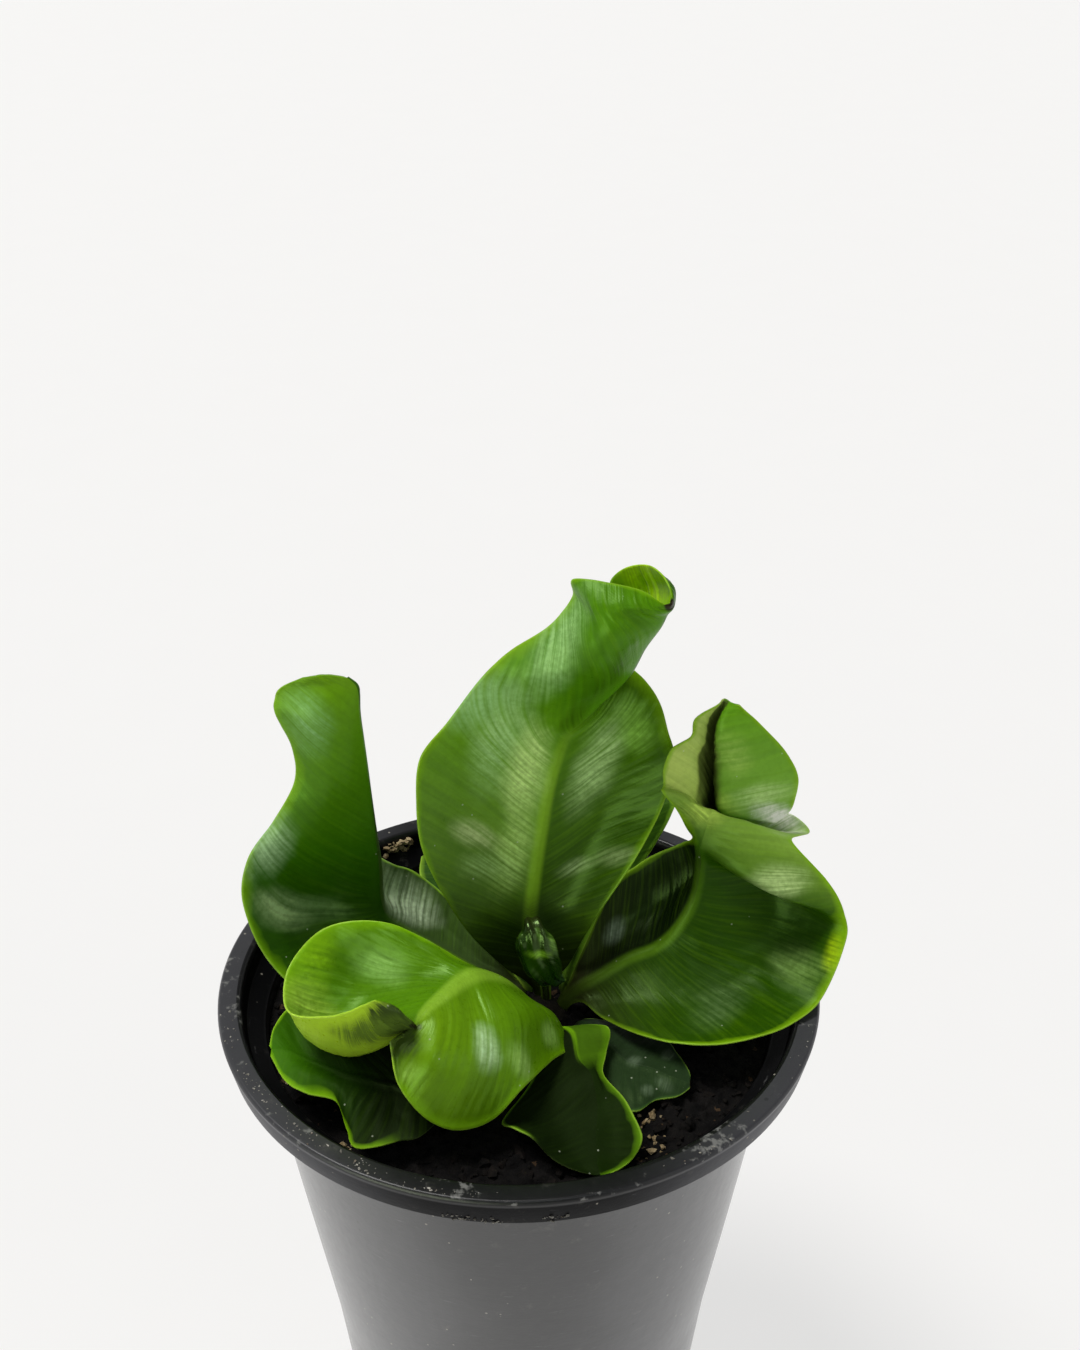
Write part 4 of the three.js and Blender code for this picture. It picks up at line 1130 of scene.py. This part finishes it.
class PotPlastic(Shader):
    """Black plastic with a pale film on the wall, dull skirt and specks, dust and scuffs, and painted
    reflections on the wall and on the sides.
    """

    def __init__(self):
        super().__init__("pot_black_plastic")
        self.x, self.y, self.height = self.split(self.place)
        self.radius = self.math("POWER", self.scaled(self.x, self.x, self.times(self.y, self.y)), 0.5)
        self.wall = self.fade(self.height, (SKIRT_FOOT - 1.5) * MM, (SKIRT_FOOT + 0.5) * MM)
        self.is_top = self.beyond(self.height, (RIM_HEIGHT - 0.8) * MM)

    def is_inside(self):
        """Where the surface lies nearer to the axis than the middle of the wall."""
        slope = (SHOULDER_RADIUS - STEP_RADIUS) / (STEP_DEPTH - SKIRT_DROP)
        at_floor = STEP_RADIUS - WALL / 2 - slope * (RIM_HEIGHT - STEP_DEPTH)
        middle = self.scaled(self.height, slope, at_floor * MM)
        in_rim = self.beyond(self.height, (SKIRT_FOOT - 0.5) * MM)
        return self.math("LESS_THAN", self.radius, self.scaled(in_rim, RIM_WIDENING * MM, middle))

    def film_and_reflection_tone(self):
        """Five faint vertical bands of painted reflection round the wall, with a dark one at the front,
        broken up by noise.
        """
        turn = self.math("ARCTAN2", self.y, self.x)
        reflection_band = self.math("COSINE", self.scaled(turn, 5, 5 * math.pi / 2))
        reflection_band = self.scaled(self.noise(26, 2), 1.1, self.times(reflection_band, -0.5))
        return self.mix(self.span(reflection_band, 0.1, 1.0), tone(*FILM_DARK), tone(*FILM_PALE))

    def paint_body(self):
        sides = [self.times(self.over(side, self.radius), 30.0) for side in (self.x, self.y)]
        streaks = self.noise(1.0, 4, 0.6, self.join(*sides, self.times(self.height, 40.0)))
        cloud = self.noise(38, 4, 0.6)
        cover = self.span(self.math("ADD", streaks, cloud), 0.75, 1.25, 0.75, 1.0)
        self.film = self.times(self.wall, cover)
        # The bare plastic is painted paler towards its left and right sides, and less so on the rim's top: a
        # painted reflection.
        flank = self.span(self.over(self.math("ABSOLUTE", self.x), self.radius), 0.25, 0.8)
        flank = self.times(flank, self.scaled(self.is_top, -0.45, 1.0))
        bare = self.mix(flank, tone(*BARE_DARK), tone(*BARE_PALE))
        self.colour = self.mix(self.film, bare, self.film_and_reflection_tone())
        # Inside the pot the plastic is painted its plain black, without the film, which also serves as
        # painted shade.
        self.paint(self.is_inside(), INSIDE_TONE)

    def paint_dust(self):
        smudge = self.times(self.noise(55, 2), self.noise(420, 3, 0.6))
        smudge = self.times(self.span(smudge, 0.33, 0.42), self.is_top)
        self.paint(self.times(smudge, 0.5), SMUDGE_TONE)
        dusty = self.span(self.noise(210, 5, 0.7), 0.58, 0.8)
        self.paint(self.times(dusty, 0.25), DUST_TONE)

    def paint_specks(self):
        distance, drawn = self.cells(700)
        gather = self.span(self.noise(60, 2), 0.5, 0.66, 0.998, 0.86)
        self.speck = self.times(self.fade(distance, 0.12, 0.24), self.beyond(drawn[0], gather))
        self.paint(self.times(self.speck, 0.6), POT_SPECK_TONE)
        pit = self.times(self.beyond(drawn[1], 0.985), self.fade(distance, 0.2, 0.4))
        self.paint(self.times(pit, 0.5), PIT_TONE)

    def paint_scuffs(self):
        flattened = self.node("Mapping", Vector=self.place, Scale=(1, 1, 7)).outputs[0]
        self.scuffs = self.noise(150, 5, 0.7, flattened)
        self.paint(self.times(self.span(self.scuffs, 0.64, 0.74), 0.22), SCUFF_TONE)

    def set_shine(self):
        """The wall shines under a coat, and the skirt's outer side hardly at all."""
        below_top = self.fade(self.height, (RIM_HEIGHT - 1.8) * MM, (RIM_HEIGHT - 1.2) * MM)
        skirt = self.times(self.less(1.0, self.wall), below_top)
        self.put(self.surface.inputs["Specular IOR Level"], self.scaled(skirt, -0.3, 0.35))
        self.put(self.surface.inputs["Coat Weight"], self.times(self.wall, 0.85))

    def roughness(self):
        rough = self.scaled(self.noise(420), 0.12, 0.3)
        rough = self.scaled(self.film, 0.06, rough)
        return self.scaled(self.speck, 0.3, rough)

    def normal(self):
        normal = self.bump(self.noise(1500), 0.2, 0.1 * MM)
        normal = self.bump(self.noise(90), 0.25, 0.6 * MM, normal)
        return self.bump(self.scuffs, 0.15, 0.2 * MM, normal)


def pot_material():
    plastic = PotPlastic()
    plastic.paint_body()
    plastic.paint_dust()
    plastic.paint_specks()
    plastic.paint_scuffs()
    plastic.set_shine()
    return plastic.finish(plastic.roughness(), plastic.normal(), Coat_Roughness=0.2)


def soil_height(x, y):
    """The soil's relief in mm, the same broad lumps as the solid has, with finer ones on top."""
    broad = np.sin(0.21 * x + 0.6) * np.cos(0.17 * y - 0.4)
    fine = np.sin(0.83 * x - 0.35 * y) * np.sin(0.71 * y + 0.42 * x + 1.3)
    crumb = sum(height * soft_noise(x, y, seed, pitch) for height, seed, pitch in SOIL_LUMPS)
    return SOIL_RELIEF * (0.7 * broad + 0.6 * fine) + crumb


def soil_piece():
    edge = pot_outer_radius(SOIL_TOP) - WALL - SOIL_GAP
    rings = np.linspace(edge, 0, SOIL_RINGS + 1)
    sides = [
        (0, FLOOR_TOP + SOIL_GAP),
        (FOOT_RADIUS - WALL - SOIL_GAP, FLOOR_TOP + SOIL_GAP),
        (STEP_RADIUS - WALL - SOIL_GAP, RIM_HEIGHT - STEP_DEPTH),
    ]
    profile = np.array(sides + [(radius, SOIL_TOP) for radius in rings])

    def shape(radius, height, turns):
        x = radius * np.cos(turns)
        y = radius * np.sin(turns)
        inside = smooth_step(edge - radius, 0, 2.5) * (height > SOIL_TOP - 0.01)
        return radius, height + inside * soil_height(x, y)

    points, faces = spin(profile, SOIL_SEGMENTS, shape)
    return new_piece("potting_mix", points, faces)


def lump(draw, size, flat):
    """A small irregular grain as points and faces."""
    ball = bmesh.new()
    bmesh.ops.create_icosphere(ball, subdivisions=1, radius=1)
    stretch = np.array([1 + 0.7 * draw.random(), 0.8 + 0.3 * draw.random(), flat])
    points = np.array([vertex.co[:] for vertex in ball.verts])
    points *= stretch * size * draw.uniform(0.62, 1.25, (len(points), 1))
    faces = [[vertex.index for vertex in face.verts] for face in ball.faces]
    ball.free()
    return points, faces


def scatter(name, spots, draw, flat):
    """One piece made of many grains, each at (x, y, z, size)."""
    all_points = []
    all_faces = []
    count = 0
    for x, y, z, size in spots:
        points, faces = lump(draw, size, flat)
        turn = Matrix.Rotation(draw.uniform(0, 6.28), 3, "Z") @ Matrix.Rotation(draw.normal(0, 0.4), 3, "X")
        all_points.append(points @ np.array(turn).T + np.array([x, y, z]))
        all_faces.extend([i + count for i in face] for face in faces)
        count += len(points)
    return new_piece(name, np.concatenate(all_points), all_faces, smooth=False)


def soil_crumbs():
    draw = np.random.default_rng(CRUMB_SEED)
    reach = CRUMB_REACH * np.sqrt(draw.random(CRUMB_COUNT))
    turn = draw.uniform(0, 2 * math.pi, CRUMB_COUNT)
    size = 0.3 + 1.1 * draw.random(CRUMB_COUNT) ** 2.6
    x, y = reach * np.cos(turn), reach * np.sin(turn)
    keep = np.hypot(x - CROWN_CENTRE[0], y - CROWN_CENTRE[1]) > CROWN_RADIUS + 1
    z = SOIL_TOP + soil_height(x, y) + 0.1 * size
    return scatter("soil_crumbs", np.stack([x, y, z, size], axis=1)[keep], draw, 0.7)


# Pale bits on the soil: x, y and half their size.
PALE_BITS = [
    (26.8, -33.2, 1.5),
    (25.3, -34.8, 1.1),
    (27.2, -39.2, 1.3),
    (26.1, -42.7, 1.2),
    (28.4, -41.0, 0.9),
    (31.4, -13.5, 1.0),
    (32.2, -16.3, 0.8),
    (-48.5, -21.5, 1.1),
    (-47.0, -38.0, 0.5),
    (-35.5, -40.0, 1.4),
    (-34.0, -41.5, 1.0),
    (-34.0, 42.0, 1.3),
    (-31.0, 43.5, 1.0),
    (-36.5, 40.0, 0.7),
]


def on_soil(x, y, size):
    return x, y, SOIL_TOP + float(soil_height(np.array(x), np.array(y))) + 0.3 * size, size


def pale_bits():
    draw = np.random.default_rng(BITS_SEED)
    places = [(x, y, 0.72 * size) for x, y, size in PALE_BITS]
    for x, y, size in PALE_BITS:
        for _ in range(BITS_PER_SPOT):
            places.append((x + draw.normal(0, 1.1), y + draw.normal(0, 1.1), size * draw.uniform(0.2, 0.45)))
    for _ in range(CHIP_COUNT):
        reach = CHIP_REACH * math.sqrt(draw.random())
        turn = draw.uniform(0, 2 * math.pi)
        places.append((*polar(reach, turn), draw.uniform(0.3, 0.7)))
    spots = [on_soil(*place) for place in places]
    for _ in range(WALL_CRUMBS):
        turn = math.radians(draw.normal(WALL_CRUMB_TURN, 1.9))
        size = draw.uniform(0.25, 0.95)
        reach = RIM_RADIUS - RIM_TOP_WIDTH - 0.7 - 0.5 * size
        spots.append((*polar(reach, turn), RIM_HEIGHT - draw.uniform(1, 4.4), size))
    return scatter("soil_bark_bits", spots, draw, 0.75)


def soil_material(name, dark, light, lightness):
    shader = Shader(name)
    patches = shader.span(shader.noise(420, 5, 0.65), 0.35, 0.75)
    shader.colour = shader.mix(patches, tone(*dark), tone(*light))
    drawn = shader.cells(900)[1]
    shader.paint(shader.times(shader.beyond(drawn[1], lightness), 0.5), FLECK_TONE)
    normal = shader.bump(shader.noise(900, 5, 0.7), 0.9, 0.6 * MM)
    return shader.finish(shader.scaled(patches, -0.15, 0.9), normal, Specular_IOR_Level=0.15)


def crown_piece():
    """A low dome with rows of blunt overlapping scales."""
    dome = [
        (0, CROWN_BOTTOM),
        (CROWN_RADIUS, CROWN_BOTTOM),
        (CROWN_RADIUS * 0.98, CROWN_TOP - 3.2),
        (CROWN_RADIUS * 0.8, CROWN_TOP - 1.7),
        (CROWN_RADIUS * 0.48, CROWN_TOP - 0.6),
        (0, CROWN_TOP - 0.3),
    ]
    profile = with_steps(rounded([(r, z + RIM_HEIGHT) for r, z in dome], 1.2), 0.6)

    def shape(radius, height, turns):
        scales = np.abs(np.sin(5 * turns + 1.9 * height)) * np.abs(np.sin(2.2 * height))
        return radius * (1 - 0.1 * (1 - scales)), height

    points, faces = spin(profile, 96, shape)
    points[:, 0] += CROWN_CENTRE[0]
    points[:, 1] += CROWN_CENTRE[1]
    return new_piece("crown_scales", points, faces)


# Clusters of dust on the rim's top and at the skirt's foot: turn from +X and spread in degrees, and count.
TOP_DUST = [
    (196, 5, 12),
    (212, 7, 26),
    (224, 8, 22),
    (243, 12, 34),
    (258, 10, 20),
    (305, 14, 16),
    (338, 12, 10),
]
FOOT_DUST = [
    (259, 4, 34),
    (265, 2, 16),
    (276, 3, 18),
    (231, 4, 12),
]


def dust_turns(draw, clusters):
    """The direction of each grain of dust in some clusters, one after the other."""
    for centre, spread, count in clusters:
        for _ in range(count):
            yield math.radians(draw.normal(centre, spread / 2))


def rim_dust():
    draw = np.random.default_rng(DUST_SEED)
    spots = []
    for turn in dust_turns(draw, TOP_DUST):
        reach = RIM_RADIUS - RIM_TOP_WIDTH / 2 + 0.1 + draw.uniform(-1.6, 1.5)
        size = 0.08 + 0.26 * draw.random() ** 2.2
        spots.append((*polar(reach, turn), RIM_HEIGHT + 0.2 * size, size))
    for turn in dust_turns(draw, FOOT_DUST):
        drop = SKIRT_DROP - draw.uniform(0.2, 2.2)
        reach = RIM_RADIUS - 0.45 - SKIRT_LEAN * drop / SKIRT_DROP
        size = 0.1 + 0.34 * draw.random() ** 2
        spots.append((*polar(reach, turn), RIM_HEIGHT - drop, size))
    return scatter("rim_dust", spots, draw, 0.5)


def dress(piece, node, material):
    """Rides a piece on the root body, gives it its finish and lets it stand for a node."""
    piece.data.materials.clear()
    piece.data.materials.append(material)
    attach(piece, "root")
    if node:
        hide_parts(node)


def make_camera():
    """The camera looks down at the pot. Its place is given from the centre of the rim's top face."""
    camera = bpy.data.cameras.new("camera")
    camera.sensor_width = 36
    camera.lens = CAMERA_LENS
    camera.clip_start = 0.01
    camera.clip_end = 60
    holder = new_object("camera", camera)
    turn = Euler((math.radians(90 - CAMERA_PITCH), 0, -math.radians(CAMERA_YAW)))
    holder.matrix_world = Matrix.LocRotScale(in_scene((0, -CAMERA_BACK, CAMERA_RISE)), turn, None)
    bpy.context.scene.camera = holder


def make_sun(name, strength, spread, heading, colour, sheen_only=False):
    """A broad soft light. The heading is the direction that its light travels in."""
    sun = bpy.data.lights.new(name, "SUN")
    sun.energy = strength
    sun.angle = math.radians(spread)
    sun.color = colour
    holder = new_object(name, sun)
    holder.rotation_euler = Vector(heading).to_track_quat("-Z", "Y").to_euler()
    holder.visible_diffuse = not sheen_only


def make_room():
    """Studio light from all round, brightest near the floor."""
    world = bpy.data.worlds.new("room")
    world.use_nodes = True
    tree = world.node_tree
    background = tree.nodes["Background"]
    place = tree.nodes.new("ShaderNodeTexCoord").outputs["Generated"]
    split = tree.nodes.new("ShaderNodeSeparateXYZ")
    tree.links.new(place, split.inputs[0])
    ramp = tree.nodes.new("ShaderNodeValToRGB")
    tree.links.new(split.outputs["Z"], ramp.inputs[0])
    low, high = ramp.color_ramp.elements
    low.position, low.color = 0.0, (0.8, 0.795, 0.785, 1)
    high.position, high.color = 0.3, (0.17, 0.174, 0.18, 1)
    tree.links.new(ramp.outputs[0], background.inputs["Color"])
    background.inputs["Strength"].default_value = 1.0
    bpy.context.scene.world = world


def make_floor():
    bpy.ops.mesh.primitive_plane_add(size=FLOOR_METRES, location=(0, 0, 0))
    floor = bpy.context.active_object
    floor.name = "floor"
    shader = Shader("floor_paper")
    grain = shader.noise(30)
    shader.colour = shader.mix(grain, tone(*PAPER_DARK), tone(*PAPER_PALE))
    shader.surface.inputs["Emission Color"].default_value = (1.0, 0.995, 0.985, 1)
    shader.surface.inputs["Emission Strength"].default_value = 0.7
    floor.data.materials.append(shader.finish(0.8, shader.bump(grain, 0.05, 1.0 * MM)))


make_camera()
make_room()
make_floor()
make_sun("key", 2.6, 26, (0.34, -0.1, -0.93), (1.0, 0.99, 0.97))
make_sun("window", 0.3, 34, (-0.7, 0.56, -0.44), (0.97, 1.0, 1.0))
make_sun("sheen", 2.6, 46, (0.58, 0.8, -0.12), (0.9, 1.0, 0.72), sheen_only=True)
make_sun("lamp", 0.3, 14, (-0.12, 0.56, -0.82), (0.94, 1.0, 1.0), sheen_only=True)

pot = new_piece("nursery_pot", *spin(pot_profile(), POT_SEGMENTS, pot_shape))
cut_drains(pot)
dress(pot, "pot", pot_material())

# The earthy pieces: node, slot, and the finish's name, dark tone, light tone and limit for pale flecks.
EARTHY = [
    # The soil's near-black tones are partly the mix's own dark colour and partly painted shade under the
    # fronds.
    (soil_piece, "soil", "potting_mix", "soil_dark", (5, 4, 4), (17, 13, 11), 0.99),
    (soil_crumbs, None, "potting_mix", "soil_crumb", (6, 5, 4), (26, 19, 15), 0.98),
    (pale_bits, None, "potting_mix", "soil_bark", (110, 92, 62), (196, 178, 140), 0.9),
    (rim_dust, None, "potting_mix", "dust", (120, 116, 108), (196, 192, 182), 0.95),
    (crown_piece, "crown", "rootstock", "crown_brown", (14, 12, 7), (32, 27, 16), 0.985),
]
for make, node, slot, *finish in EARTHY:
    dress(make(), node, soil_material(*finish))

for frond_name, own_look in LOOKS.items():
    frond_look = {**PLAIN_LOOK, **own_look}
    piece = frond_mesh(frond_name, frond_look)
    piece.name = frond_name + "_leaf"
    dress(piece, frond_name, frond_material(frond_name, frond_look))

bpy.context.scene.view_settings.view_transform = "Standard"
bpy.context.scene.view_settings.look = "None"
